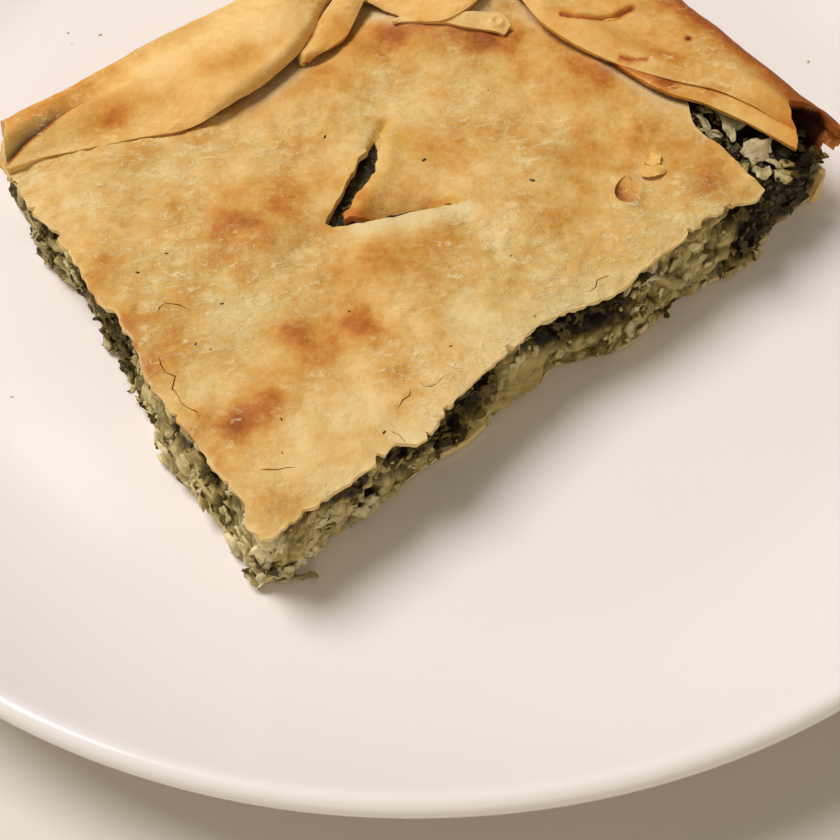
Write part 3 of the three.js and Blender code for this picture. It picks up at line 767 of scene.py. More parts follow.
def gathered(*groups):
    """Groups of places, and of the ways they face, as one group."""
    return [np.concatenate(parts) for parts in zip(*groups)]


def in_range(count, low, high):
    """Sizes in a range, with more small ones than large ones."""
    return low + (high - low) * draws.uniform(0, 1, (count, 1)) ** 1.6


shreds = [shred_shape(*bends)
          for bends in ((0.6, 0.1, 0.5), (-0.6, 0.14, 0.3), (0.4, 0.2, 0.7), (0.2, 0.12, 0.2))]
shreds += [flake_shape(4, 0.1), flake_shape(11, -0.08)]
spots, outward = gathered(on_cuts(170, 130, 1, 1, 0.1), bare_end(150, 0.9), in_slit(60),
                          at_places(CORNER_LEAVES, (-0.5, -0.7, 0.4)))
count = len(spots)
by_fold = spots[:, 0] > BARE_FROM
leaves = strew("leaf_shreds", shreds, spots, in_range(count, 1.3, 3.4) * (1 - 0.3 * by_fold[:, None]),
               facing(outward, 0.28), draws.uniform(0, 1, count) * (1 - 0.55 * by_fold))
chips = [chunk_shape(*kind) for kind in ((0.3, 3), (0.25, 8), (0.2, 15), (0.35, 21), (0.22, 27))]
chips += [shred_shape(0.5, 0.16, 0.4), flake_shape(8, 0.2)]
spots, outward = gathered(on_cuts(80, 50, 1.5, -1, 0.1), bare_end(24, 0.3),
                          at_places(CORNER_CHIPS, (-0.4, -0.6, 0.6)))
count = len(spots)
paleness = (0.5 - 0.4 * leaf_and_shade(*spots.T) + 0.32 * draws.normal(size=count)).clip(0, 1)
stalks = strew("stalk_chips", chips, spots, in_range(count, 1.6, 4), facing(outward, 0.3), paleness)
grains = [grain_shape(seed) for seed in (2, 5, 9)]
spots, outward = gathered(on_cuts(50, 16, 0.6, -0.6, 0.2), bare_end(14, 0.4))
count = len(spots)
curds = strew("cheese_grains", grains, spots, in_range(count, 0.4, 1), facing(outward, 1),
              draws.uniform(0, 1, count))


def path(points):
    """A smooth curve through points of share, X and Y, as a function of the share."""
    shares, xs, ys = np.array(points, float).T
    at_x, at_y = through(np.stack([shares, xs], -1)), through(np.stack([shares, ys], -1))
    return lambda share: (at_x(share), at_y(share))


def rounded(outline, steps):
    """A closed outline with steps times the points, bent smoothly through the given ones."""
    wrapped = outline[-2:] + outline + outline[:2]
    way = path([(i - 2, *spot) for i, spot in enumerate(wrapped)])
    return list(zip(*way(np.arange(len(outline) * steps) / steps)))


def joined(pieces):
    """Several pieces as one, which is then the active one."""
    bpy.ops.object.select_all(action="DESELECT")
    for piece in pieces:
        piece.select_set(True)
    bpy.context.view_layer.objects.active = pieces[0]
    if len(pieces) > 1:
        bpy.ops.object.join()
    return pieces[0]


def scraps(name, kinds):
    """One piece of flat scraps, each with its outline, height, rise in the middle and thickness."""
    made = []
    for outline, height, dome, thickness in kinds:
        middle = np.mean(outline, axis=0)
        corners = np.array(rounded(outline, 3))
        corners = middle + (corners - middle) * (1 + 0.14 * cell_value(*corners.T, 1))[:, None]
        scrap, side, out = torn_disc(len(corners))
        x, y = (middle + (corners[side] - middle) * out[:, None]).T
        move_to(scrap, on_plate(x, y, height(x, y) + dome * (1 - out)))
        edit_all(bpy.ops.mesh.subdivide, number_cuts=2)
        edit_all(bpy.ops.mesh.normals_make_consistent, inside=False)
        x, y, z = in_slice(points_of(scrap))
        crumpled = (0.2 + dome) * noise(x / 1.6, y / 1.6, 3) + 0.22 * noise(x / 0.8, y / 0.8, 8)
        move_to(scrap, on_plate(x, y, z + crumpled))
        if scrap.data.polygons[0].normal.z < 0:
            scrap.data.flip_normals()
        thicken(scrap, thickness)
        made.append(scrap)
    piece = joined(made)
    piece.name = name
    smooth_up_to(40)
    note(piece, tone=0.55 + 0.6 * noise(*points_of(piece).T / (1.7 * MM)))
    return piece


def over_filling(rise):
    return lambda x, y: filling_top(x, y) + rise


def level(height):
    return lambda x, y: height + 0 * x


# Large soft scraps: five lie bare by the side fold, and two have slipped on to the plate at the near corner.
LARGE_SCRAPS = [
    ([(123.3, 22.6), (125.5, 19.6), (126.2, 16.3), (123.9, 15.6), (122.1, 15.9), (120.1, 14), (119.2, 15),
      (121, 18)], over_filling(0.9), 0.5, 0.5),
    ([(120.6, 12.4), (123, 12.4), (124.3, 10.6), (126.2, 10.2), (124, 8.1), (122.1, 7), (120.7, 7.1),
      (118.2, 7.4), (118.6, 9.1), (119.1, 11.1)], over_filling(0.8), 0.6, 0.5),
    ([(121.2, 7.2), (122.2, 6.6), (122.2, 4), (121.4, 3.8), (121.2, 5.4)], over_filling(0.7), 0.1, 0.4),
    ([(119.4, 24.4), (120, 21), (118.2, 18), (119.4, 16.2), (117.6, 16.8), (117, 18.6), (118.6, 21.4)],
     over_filling(0.5), 0.2, 0.4),
    ([(118.2, 7), (121, 5.4), (119.2, 3.4), (116.8, 4.6)], over_filling(0.3), 0.4, 0.4),
    ([(-2.9, 2.4), (-3.5, 0.4), (-3.3, -0.6), (-2.3, -1.4), (-1, 0), (-1.2, 1.8)], level(1.2), 1.1, 0.8),
    ([(0.6, -1.6), (3.4, -2.2), (5, -4.2), (6.6, -5.6), (3.6, -3.8), (1.4, -3.4)], level(0.7), 1.3, 0.6)]
pale_scraps = scraps("pale_scraps", LARGE_SCRAPS)


def tint(piece, name, dark, light, shine, glow, node, slot):
    """Colours small pieces between two colours, by their tone and by fine streaks. Moist ones glow."""
    tree, shader = material_for(piece, name)
    streak = cloud(tree, put(tree, "TexCoord").outputs["Object"], 900, 4, 0.65, 0.5)
    tone = times(tree, noted(tree, "tone"), 0.75)
    share = plus(tree, tone, calc(tree, "SUBTRACT", streak, 0.38), clamp=True)
    surface(tree, shader, blend(tree, share, paint(*dark), paint(*light)),
            spread(tree, streak, 0.3, 0.7, shine, shine + 0.2), streak if glow else None, 0.6, 0.4)
    if glow:
        let_light_in(shader, glow)
    stands_for(piece, node)


for finish in [(leaves, "chard leaf", (34, 24, 2), (112, 95, 36), 0.3, 0.1),
               (stalks, "chard stalk", (140, 120, 56), (238, 221, 170), 0.2, 0.5),
               (curds, "soft cheese", (160, 140, 74), (224, 205, 142), 0.45, 0.4),
               (pale_scraps, "soft stalk", (112, 97, 58), (214, 195, 150), 0.28, 0.5)]:
    tint(*finish, "chard_filling", "filling")

# The upper crust
# A thin sheet of oil dough, rolled by hand and laid over the filling. It blistered in the oven and browned on
# its blisters and its far ridge. The cook slit it in a V before baking, and the tongue of the V curled up.
GAP = 0.35
TOP_THICKNESS = 1.6
TOP_FAR = SLICE_WIDTH - 6.7
top_side = through([
    (-3, 114.6), (3, 115), (12, 115.8), (22, 116.4), (27, 120), (36, 123), (60, 123), (80, 122), (90, 116),
    (TOP_FAR, 108)])
# Blisters and brown spots on it: X, Y, radius, how brown and how high.
SPOTS = [
    (33, 47.7, 6, 0.06, 1.4), (29.5, 45, 3, 0.06, 0.4), (27.2, 27.8, 3.4, 0.2, 0.9),
    (37, 22.2, 3.4, 0.38, 1.0), (12, 17.4, 5, 0.44, 1.0), (8.6, 18.4, 3, 0.18, 0.2),
    (14.6, 18.6, 2.4, 0.14, 0.3), (4.2, 1.6, 2.8, 0.2, 0.8), (23.2, 29.7, 3, 0.14, 0.2),
    (29.6, 20.7, 4, 0.1, 0.2), (6.8, 33, 3.5, 0.02, 0.4), (34, 10, 4, 0.12, 0.5), (49.9, 78.9, 4.5, 0.1, 0.4),
    (62, 77.5, 6, 0.04, 0.5), (75.8, 76.6, 6, 0.03, 0.6), (90.2, 70.8, 7, 0.02, 0.8), (84, 73, 4, 0.02, 0.3),
    (97.3, 62.5, 5, 0.08, 0.4), (110.4, 42.5, 4, 0.2, 0.5), (107.5, 12, 6, 0.2, 0.4),
    (105.9, 25.7, 5, 0.16, 0.4), (78, 22, 5, 0.1, 0.3), (60, 27, 5, 0.12, 0.3), (101, 32, 3, 0.06, 0.7),
    (97, 44, 3, 0.04, 0.6)]
# Broad areas that are browner, or paler where the number is below 0: X, Y, radius and how brown.
AREAS = [
    (80, 62, 6, 0.16), (79, 46, 10, 0.28), (89, 38, 7, 0.18), (46, 54, 8, 0.24), (27, 22, 7, 0.32),
    (37, 20, 5, 0.14), (39, 35, 6, 0.18), (48, 27, 7, 0.12), (70, 51, 5, 0.16), (14, 19, 5, 0.14),
    (75, 75, 5, -0.14), (106, 49, 5, -0.2), (91, 62, 5, -0.16), (89, 7, 8, -0.1), (77, 15, 6, -0.1),
    (70, 6, 7, -0.16), (62, 26, 6, -0.16), (52, 9, 10, -0.2), (11, 52, 9, -0.22), (36, 45, 6, -0.16),
    (44, 63, 5, -0.14), (63, 60, 5, -0.12), (8, 26, 6, -0.12), (16, 10, 8, -0.24), (4, 33, 4.5, -0.22),
    (4, 3, 9, -0.17)]
# The brown ridge along the far fold.
BROWN_RIDGE = [
    (46, 78), (60, 76.8), (72.3, 75.8), (79.4, 75.4), (86.6, 75.4), (90, 73.4), (92.9, 70.6), (95.5, 67.2),
    (98.2, 63)]
# The open slit, the tongue beside it, the slit's right arm, the groove at its far end, and its pale near lip.
SLIT_GAP = [
    (45.2, 44.1), (50.8, 47.4), (56.3, 51), (60, 53.2), (63.6, 55.2), (65.2, 55.8), (64.4, 54), (62.6, 51.6),
    (60.2, 48.9), (56.2, 46.7), (52.4, 45.4), (50, 44.2), (48.8, 42.6), (52.4, 40.6), (56.3, 39.2),
    (60.4, 37.1), (63.7, 35.2), (66, 33.5), (65.6, 32.9), (63, 34.1), (59.6, 35.8), (55.6, 37.9), (52, 39.5),
    (48.2, 41), (46.2, 42.2)]
TONGUE = [
    (47.2, 42), (50, 40.7), (52.1, 39.85), (55.75, 38.25), (59.75, 36.1), (63.1, 34.35), (65.5, 33.05),
    (68.4, 31.6), (80, 44), (70.4, 57.4), (64.2, 54.8), (61.3, 52.6), (58.2, 50.2), (54.3, 48.2),
    (50.4, 45.8), (47.4, 43.6)]
RIGHT_ARM = [(48.4, 41.4), (55.9, 38.3), (65.6, 33)]
GROOVE = [(63, 54), (66, 56), (69, 57.8)]
PALE_LIP = [(50, 39.5), (58, 35.4), (67, 31)]
# Cracks in it, and the blister that popped.
CRACKS = [
    [(5.1, 37.6), (4.5, 35.7), (5.1, 31.8), (3.3, 28), (3.4, 25.4), (3.8, 22)],
    [(5.9, 8), (8.2, 6.4), (11.4, 4.4)], [(30.7, 3.6), (32.9, 4.4), (35.4, 5.3)],
    [(72.8, 3.5), (75.1, 3.1), (76.2, 4), (79.3, 3.1)], [(37.4, 4.3), (39.4, 3.3), (43.1, 2.8)],
    [(10, 45.4), (12.1, 46.2), (14.8, 42.2)], [(27.6, 1.4), (28.4, -0.6), (28.2, -4)]]
CRACK_WIDTH = 0.2
CRACK_DEPTH = 0.9
POPPED = rounded([
    (96.3, 18.9), (94.2, 18.7), (92.2, 17.5), (91.4, 15.6), (92, 14), (93.6, 13.3), (95.9, 14.4),
    (97.1, 16.2), (97.1, 18)], 3)


def crust_top(x, y):
    """The height of the upper crust before its fine relief. It swells where no fold holds it down."""
    open_top = ease(depth_inside(x, y), 24, 32)
    blisters = 0.4 * noise(x / 8, y / 8, 8.2) + 0.5 * noise(x / 17, y / 17, 4.4)
    swell = 0.9 * np.exp(-((x - 33) ** 2 + (y - 47) ** 2) / 42)
    return filling_top(x, y) + GAP + TOP_THICKNESS + open_top * (blisters + swell)


def upper_place(a, b):
    y_flat = -1 + (TOP_FAR + 1) * b
    left = short_cut(y_flat)
    x = left + (top_side(y_flat) - left) * a
    y = y_flat + (1 + long_cut(x)) * (1 - b) ** 6
    return x, y, crust_top(x, y)


def inside(outline, x, y):
    """Whether places lie inside a closed outline."""
    found = np.zeros(len(x), bool)
    for (x0, y0), (x1, y1) in zip(outline, outline[1:] + outline[:1]):
        crosses = (y0 > y) != (y1 > y)
        found ^= crosses & (x < x0 + (x1 - x0) * (y - y0) / (y1 - y0 + 1e-12))
    return found


def gap_to(chain, x, y):
    """How far places are from a chain of points."""
    best = np.full(len(x), 1e9)
    for start, end in zip(chain, chain[1:]):
        start, step = np.array(start, float), np.subtract(end, start).astype(float)
        t = np.clip(((x - start[0]) * step[0] + (y - start[1]) * step[1]) / (step @ step), 0, 1)
        best = np.minimum(best, np.hypot(x - start[0] - t * step[0], y - start[1] - t * step[1]))
    return best


def blade_outline(chain, width):
    """The outline of a thin blade along a chain of points, which comes to a point at both ends."""
    chain = np.array(chain, float)
    steps = np.diff(chain, axis=0)
    bent = 0.2 * cell_value(*chain[:-1].T, 3)[:, None] * np.stack([-steps[:, 1], steps[:, 0]], -1)
    chain = np.insert(chain, range(1, len(chain)), chain[:-1] + 0.5 * steps + bent, axis=0)
    ways = np.gradient(chain, axis=0)
    sides = np.stack([-ways[:, 1], ways[:, 0]], -1) / np.linalg.norm(ways, axis=1, keepdims=True)
    middle = chain[1:-1]
    half = width * (0.5 + 0.3 * cell_value(*middle.T, 8))[:, None] * sides[1:-1]
    return np.concatenate([chain[:1], middle + half, chain[-1:], (middle - half)[::-1]])


def cutter(outline, low, high):
    """A block with an outline in the slice, for cutting with: low and high give its ends over a place."""
    block = new_piece("cutter", bpy.ops.mesh.primitive_circle_add, vertices=len(outline), fill_type="NGON")
    x, y = np.array(outline, float).T
    move_to(block, on_plate(x, y, low(x, y)))
    edit_all(bpy.ops.mesh.extrude_region_move, TRANSFORM_OT_translate={"value": (0, 0, MM)})
    x, y, z = in_slice(points_of(block))
    move_to(block, on_plate(x, y, np.where(z - low(x, y) > 0.5, high(x, y), z)))
    edit_all(bpy.ops.mesh.normals_make_consistent, inside=False)
    return block


def carve(piece, *blocks):
    """Cuts blocks out of a piece, and removes them."""
    block = joined(blocks)
    shape_by(joined([piece]), "cut", "BOOLEAN", operation="DIFFERENCE", solver="MANIFOLD", object=block)
    bpy.data.objects.remove(block)


def below_crust(depth):
    return lambda x, y: crust_top(x, y) - depth


upper = dough_sheet("upper_crust_sheet", 225, 186, upper_place)
thicken(upper, TOP_THICKNESS)
over_crust = below_crust(-4)
carve(upper, cutter(SLIT_GAP, below_crust(5), over_crust),
      cutter(POPPED, lambda x, y: crust_top(x, y) - 1.1 + 0.21 * (x - 91.4), over_crust),
      *[cutter(blade_outline(chain, CRACK_WIDTH), below_crust(CRACK_DEPTH), over_crust) for chain in CRACKS])

# How far each point lies from the cuts, the slit and its tongue.
x, y, z = in_slice(points_of(upper))
under = ease(crust_top(x, y) - z, 0.5, 1.0)
from_short, from_long = x - short_cut(y), y - long_cut(x)
from_cut = np.minimum(from_short, from_long)
along_tongue = np.hypot(x - 48, y - 42.4)
tongue = inside(TONGUE, x, y)
right_arm = gap_to(RIGHT_ARM, x, y)
left_edge = gap_to(SLIT_GAP[6:13], x, y)
groove = gap_to(GROOVE, x, y)
ridge_gap = gap_to(BROWN_RIDGE, x, y)
rim = gap_to(POPPED + POPPED[:1], x, y)

# The tongue curls up, and the crust is blistered, crumpled, and ragged at the cuts and the slit.
arm = ease(along_tongue, 2, 7) * (1 - ease(along_tongue, 15, 21))
rolled_edge = 0.8 * bell(left_edge, 1.1) - 0.5 * bell(left_edge - 2.6, 1.6)
on_tongue = 0.9 * (1 - ease(along_tongue, 0, 20)) - 2.9 * bell(right_arm, 3.2) * arm - rolled_edge
off_tongue = 0.5 * bell(right_arm, 2) * (1 - ease(along_tongue, 15, 20))
lift = np.where(tongue, on_tongue, off_tongue) - 1.4 * bell(groove, 0.9)
rough = ease(noise(x / 13, y / 13, 5), -0.2, 0.5)
relief = (0.5 * crumple(x, y, 2, 8, 2) + 0.12 * crumple(x, y, 6, 3, 2)
          + 0.3 * rough * crumple(x + 40, y, 9, 1.9, 2))
browned = 0.13 * bell(ridge_gap, 3.8)
for spot_x, spot_y, radius, brown, high in SPOTS:
    away = np.hypot(x - spot_x, y - spot_y) / radius * (1 + 0.3 * noise(x / 3, y / 3, spot_x))
    browned += brown * bell(away, 1)
    relief += 0.6 * high * bell(away, 0.8)
for area_x, area_y, radius, brown in AREAS:
    browned += brown * bell(np.hypot(x - area_x, y - area_y), radius)
relief += 0.45 * bell(rim, 0.9) * (1 - under)
ragged = (0.3 * noise(x / 5.5, y / 5.5, 2) + 0.24 * noise(x / 2.6, y / 2.6, 6)
          + 0.45 * noise(x / 1.1, y / 1.1, 12) * ease(noise(x / 6, y / 6, 15), -0.3, 0.6)
          + 1.1 * ease(noise(x / 1.8, y / 1.8, 21), 0.62, 0.8))
by_slit = 0.4 * bell(gap_to(SLIT_GAP + SLIT_GAP[:1], x, y), 1.4)
slit_x, slit_y = by_slit * noise(x / 1.5, y / 1.5, 31), by_slit * noise(x / 1.5, y / 1.5, 36)
close = fade(from_cut, 1.6)
droop = (0.7 * under - 0.6) * fade(from_cut, 3)
x = x + np.where(from_short <= from_long, (ragged + 0.3 * under * noise(x, y, 3)) * close, 0)
y = y + np.where(from_short > from_long, (ragged + 0.3 * under * noise(x, y, 5)) * close, 0)
move_to(upper, on_plate(x + slit_x, y + slit_y, z + relief + lift + droop))
smooth_up_to(50)

# It is raw beside the fold, whose inner edge is given by share of the rim, X and Y, and green by the slit.
fold_edge = path([
    (0, 6, 92.4), (0.05, 15, 90.2), (0.1, 26.6, 84.6), (0.16, 38.6, 78.2), (0.22, 51.6, 78),
    (0.28, 63.6, 80.8), (0.32, 72, 85.6), (0.36, 82, 92), (0.385, 86.4, 87), (0.41, 87.6, 80.4),
    (0.435, 89.8, 75), (0.46, 93, 71.4), (0.49, 97, 70), (0.52, 101.8, 70.2), (0.56, 107, 72),
    (0.59, 110.4, 72.6), (0.62, 111.4, 69), (0.66, 110.6, 59.6), (0.72, 112.6, 47), (0.78, 114.3, 34.9),
    (0.85, 118.7, 24.7), (0.91, 122.3, 15.1), (0.96, 124.3, 7), (1, 125.5, 1.6)])
shaded = list(zip(*fold_edge(np.linspace(0.17, 0.9, 90))))
beside_fold = bell(gap_to(shaded, x, y), 2.6 - ease(x, 100, 110)) * ease(x, 44, 56)
raw = (0.7 - 0.2 * ease(x, 100, 110)) * beside_fold * (1 - 0.9 * bell(ridge_gap, 3.6) * ease(x, 78, 86))
raw = np.maximum(raw, 0.9 * ease(y, 84, 90) * ease(x, 40, 60))
ridge = bell(depth_inside(x, y) - 29, 5) * ease(x + y, 100, 150)
pale_lip = bell(gap_to(PALE_LIP, x, y), 2.4) * ~tongue
# By the slit's right arm the tongue dips under the lip, and its green there is painted shade. The spot and
# the groove are tinted green.
green = (np.exp(-((x - 69.3) ** 2 + (y - 52.2) ** 2) / 5) + 0.9 * bell(groove, 1.1)
         + 0.7 * bell(right_arm, 2.2) * tongue * ease(along_tongue, 6, 11))
in_crater = inside(POPPED, x, y) & (rim > 0.1) | (rim < 0.3) & (z < crust_top(x, y) - 0.12)
paler = 0.2 * fade(from_long, 9) * ease(x, 8, 14) - 0.08 * fade(from_short, 6) * ease(y, 38, 50)
# On the tongue by the right arm the bake rises as painted shade.
baked_by = (0.49 + browned + 0.06 * ridge - paler - 0.32 * pale_lip + 0.2 * noise(x / 26, y / 26, 9)
            + 0.08 * (1 - ease(x, 20, 50)) * ease(y, 20, 45) + 0.06 * ease(y, 55, 65) + 0.12 * relief
            + (0.28 * (1 - ease(along_tongue, 0, 13)) + 0.12 * bell(right_arm, 2.4)) * tongue
            + in_crater * (0.2 + 0.5 * (x < 92.3)))
crumbly = ease(noise(x / 3, y / 3, 7), -0.7, 0.3)
note(upper, bake=np.where(in_crater, baked_by, np.minimum(baked_by, 0.88 + 0.4 * (baked_by - 0.88))),
     raw=np.maximum(raw, 0.35 * pale_lip),
     cut=np.maximum(fade(from_cut, 0.35), 0.35 * under) * ~in_crater * crumbly,
     stain=(0.55 * green).clip(0, 0.7), warm=0)
bake(upper, "upper crust", "upper_crust", 1.0, 0.8)

# The wall of the pie and the folds
# The lower sheet stands up along the tin's outer edge and is folded in over the upper crust. It makes a wide
# smooth band along the far side, a broad flap over the corner, and a band that narrows along the side.
WALL_HEIGHT = 15.5
SHOULDER = 4
FOLD_THICKNESS = 1.6
BEND_SHARE = 0.36
ROLL = 2.4
WALL_SHARE = 0.2
CREASE_ROW = 0.55
RIM_START = float(short_cut(SLICE_WIDTH))
FAR_RUN = CORNER_X - RIM_START
CORNER_RUN = SLICE_CORNER * math.pi / 2
RIM_LENGTH = FAR_RUN + CORNER_RUN + CORNER_Y
# Along the rim: how high the fold stands over the crust at its inner edge, how far it bows up, how deep its
# inner edge rolls under, and how far its outer bend rises.
edge_height = through([
    (0, 1.2), (0.14, 1.2), (0.165, 1.9), (0.19, 3.4), (0.24, 4.4), (0.31, 4.6), (0.36, 4), (0.4, 2.2),
    (0.46, 1.8), (0.5, 2.6), (0.6, 2.6), (0.66, 2.6), (0.8, 2.7), (0.9, 2.4), (1, 2.4)])
fold_bow = through([(0, 1.4), (0.1, 1.8), (0.2, 1.4), (0.35, 1), (0.5, 1.2), (0.65, 1), (0.8, 1.2), (1, 1.4)])
roll_depth = through([
    (0, 0.6), (0.14, 0.6), (0.17, 1.2), (0.2, 2.2), (0.34, 2.3), (0.38, 1.2), (0.46, 0.7), (0.6, 0.6),
    (1, 0.6)])
top_rise = through([
    (0, 0.8), (0.1, 1.2), (0.16, 2), (0.22, 2), (0.3, 2), (0.4, 1.4), (0.5, 1.2), (0.7, 1.2), (1, 1)])
# The crease along the outside of the far fold: its place across the fold, and its depth.
crease_at = through([
    (0, 0.9), (0.02, 0.77), (0.054, 0.66), (0.08, 0.565), (0.107, 0.55), (0.126, 0.535), (0.15, 0.53),
    (0.2, 0.53), (1, 0.53)])
crease_depth = through([(0, 2.2), (0.03, 3), (0.06, 2.9), (0.1, 2), (0.13, 1), (0.15, 0), (0.17, 0), (1, 0)])
# The end of the side fold is broken off short, and the wall behind it stands up with a ragged tip.
BROKEN = [
    (122.4, -8), (123.1, 1.6), (124.4, 2.8), (126.4, 4.4), (127.7, 6.4), (128.4, 8.6), (129.6, 9.9),
    (130.7, 11.9), (132.6, 12.6), (134.4, 11), (135.2, 8), (134.6, 4), (135, -8)]
WALL_END = [
    (120, -8), (124, 0.6), (129, 1.8), (132, 1.4), (134, 2.6), (135.4, 1.8), (136.4, 2.9), (138, 2.2),
    (142, 3), (142, -8)]
WALL_BITE = [(126, -8), (128, 2), (131, 3.4), (133.6, 5.6), (135.6, 5), (137, 6), (142, 5), (142, -8)]
# Brown lines on the fold, or pale ones where the number is below 0: points along it, its width and how brown.
FOLD_TINTS = [([(36.8, 86.2), (45.5, 85.8), (54.4, 85.2), (64.1, 84.1)], 2.6, 0.1),
              ([(38, 94.4), (50, 94), (60, 94)], 2.4, -0.08),
              ([(113.6, 42), (115.6, 36.4), (118, 30.4)], 1.7, 0.42),
              ([(120.6, 22), (123, 14), (124.6, 7)], 2.6, -0.14)]


def rim_at(share):
    """A place on the rim, and the direction from it into the pie, at a share of the rim's length."""
    run = np.clip(share, 0, 1) * RIM_LENGTH
    turn = np.clip((run - FAR_RUN) / SLICE_CORNER, 0, math.pi / 2)
    x = np.where(run < FAR_RUN, RIM_START + run, CORNER_X + SLICE_CORNER * np.sin(turn))
    y = CORNER_Y + SLICE_CORNER * np.cos(turn) - np.maximum(run - FAR_RUN - CORNER_RUN, 0)
    return x, y, -np.sin(turn), -np.cos(turn)


def fold_at(along, across, raised):
    """A place on the fold: across goes from the wall's top round the bend and in to the inner edge."""
    rim_x, rim_y, _, _ = rim_at(along)
    edge_x, edge_y = fold_edge(along)
    width = np.hypot(edge_x - rim_x, edge_y - rim_y)
    top = WALL_HEIGHT + SHOULDER + top_rise(along)
    angle = np.minimum(1, across / BEND_SHARE) * math.pi / 2
    flat = np.maximum(0, (across - BEND_SHARE) / (1 - BEND_SHARE))
    in_bend = SHOULDER * (1 - np.cos(angle)) - raised * np.cos(angle)
    depth = np.where(across < BEND_SHARE, in_bend, SHOULDER + (width - SHOULDER) * flat)
    x = rim_x + (edge_x - rim_x) * depth / width
    y = rim_y + (edge_y - rim_y) * depth / width
    bend_height = WALL_HEIGHT + (top - WALL_HEIGHT + raised) * np.sin(angle)
    laid = crust_top(edge_x, edge_y) + edge_height(along)
    bowed = (fold_bow(along) * np.sin(math.pi * flat ** 0.8) ** 2
             + 0.6 * noise(x / 9, y / 9, 5.7) * np.sin(math.pi * flat))
    past = np.clip((depth - width + ROLL) / ROLL, 0, 0.97)
    rolled = roll_depth(along) * (1 - np.sqrt(1 - past ** 2))
    flat_height = top + (laid - top) * flat * flat * (3 - 2 * flat) + bowed + raised - rolled
    return x, y, np.where(across < BEND_SHARE, bend_height, flat_height)


def fold_slant(y, along):
    """How far the far fold leans over at its cut end."""
    return 4.5 * ease(y, 92, 101) * (1 - ease(along, 0, 0.1))


def wall_place(a, b):
    along = 1 - a
    row = np.maximum(0, (b - WALL_SHARE) / (1 - WALL_SHARE))
    crease = crease_at(along)
    across = np.where(row < CREASE_ROW, crease * row / CREASE_ROW,
                      crease + (1 - crease) * (row - CREASE_ROW) / (1 - CREASE_ROW))
    x, y, z = fold_at(along, across, 0)
    beside = across - crease
    depth = crease_depth(along)
    sunk = 1.15 * depth * bell(beside, np.where(beside > 0, 0.028, 0.17))
    tucked = -0.22 * depth * bell(beside - 0.05, 0.05)
    slant = fold_slant(y, along)
    rim_x, rim_y, in_x, in_y = rim_at(along)
    rise = np.minimum(1, b / WALL_SHARE)
    lean = WALL_LEAN * (1 - rise) + 0.5 * noise(along * 14, 0, 0.5) * rise
    on_wall = b <= WALL_SHARE
    return (np.where(on_wall, rim_x + in_x * lean + slant * (0.55 + 0.45 * rise), x + in_x * tucked + slant),
            np.where(on_wall, rim_y + in_y * lean, y + in_y * tucked),
            np.where(on_wall, WALL_HEIGHT * rise, z - sunk))


fold = dough_sheet("wall_and_folds", 300, 84, wall_place)
thicken(fold, FOLD_THICKNESS)
for outline, low, high in ((BROKEN, 13, 40), (WALL_END, -4, 42), (WALL_BITE, 8, 14.5)):
    carve(fold, cutter(outline, level(low), level(high)))


def dress_fold(piece, browning_and_shade, warm, cut=lambda x, y, z: 0):
    """Gives a fold its fine relief, and says where it is brown, where shade is painted on it, and where it is
    cut.
    """
    points = points_of(piece)
    x, y, z = in_slice(points)
    relief = 0.2 * crumple(x, y, z, 6, 3) + 0.05 * crumple(x, y + 9, z, 1.4, 2)
    flare = 1.4 * ease(z, 14, 20) * (1 - ease(y, 5, 15)) * ease(x, 132.5, 136)
    moved_x, moved_y, moved_z = in_slice(points + MM * relief[:, None] * normals_of(piece))
    move_to(piece, on_plate(moved_x + flare, moved_y, moved_z))
    smooth_up_to(45)
    outer_roll = ease(z, 12, 21) * bell(depth_inside(x, y), 5)
    baked_by = 0.5 + 0.16 * outer_roll + browning_and_shade(x, y, z) + 0.14 * noise(x / 16, y / 16, z / 16)
    note(piece, bake=baked_by - 0.25 * ease(-z, -9, 0), raw=0, cut=cut(x, y, z), stain=0,
         warm=warm - 0.4 * ease(x, 106, 118))
    bake(piece, piece.name.replace("_", " "), "lower_crust", 0.8, 0.55)


def tinted(tints, x, y):
    """How much browner places are by the lines in a list."""
    return sum(brown * bell(gap_to(chain, x, y), width) for chain, width, brown in tints)


def fold_browning_and_shade(x, y, z):
    blotch = 0.42 * np.exp(-((x - 27.6) ** 2 / 36 + (y - 90.1) ** 2 / 13))
    roll = 0.26 * ease(y, 95.5, 98.5) * (1 - ease(x, 22, 40))
    # The inside of the wall behind the broken end goes dark: dark bake, and painted shade in the hollow.
    in_wall = ease(depth_inside(x, y), 0.9, 1.4) * ease(x, 128, 132) * (1 - ease(y, 12, 18))
    hollow = 1.3 * in_wall * ease(z, 8, 11) * (1 - ease(z, 19, 21)) * ease(y, 4, 8)
    tip = 0.2 * ease(x, 133, 136) * (1 - ease(y, 5, 12)) * ease(z, 14, 18)
    # A dark line along the crease near the cut end: painted shadow in the crease.
    runs = np.linspace(0, 0.13, 24)
    crease_x, crease_y, _ = fold_at(runs, crease_at(runs), 0)
    crease = list(zip(crease_x + fold_slant(crease_y, runs), crease_y))
    crease_shadow = 1.5 * bell(gap_to(crease, x, y), 0.5) * (1 - ease(x, 24, 33))
    return (blotch + tinted(FOLD_TINTS, x, y) + roll + hollow + tip + crease_shadow
            + 0.2 * ease(x, 112, 124) - 0.1 * (1 - ease(x, 90, 106)))


def cut_ends(x, y, z):
    left_end = 0.6 * fade(x - short_cut(y) - fold_slant(y, 0), 0.4)
    return np.maximum(left_end, 0.95 * (1 - ease(y, 5.5, 7)) * ease(x, 126, 129) * (1 - ease(z, 7.5, 9.5)))


dress_fold(fold, fold_browning_and_shade, 0.75, cut_ends)

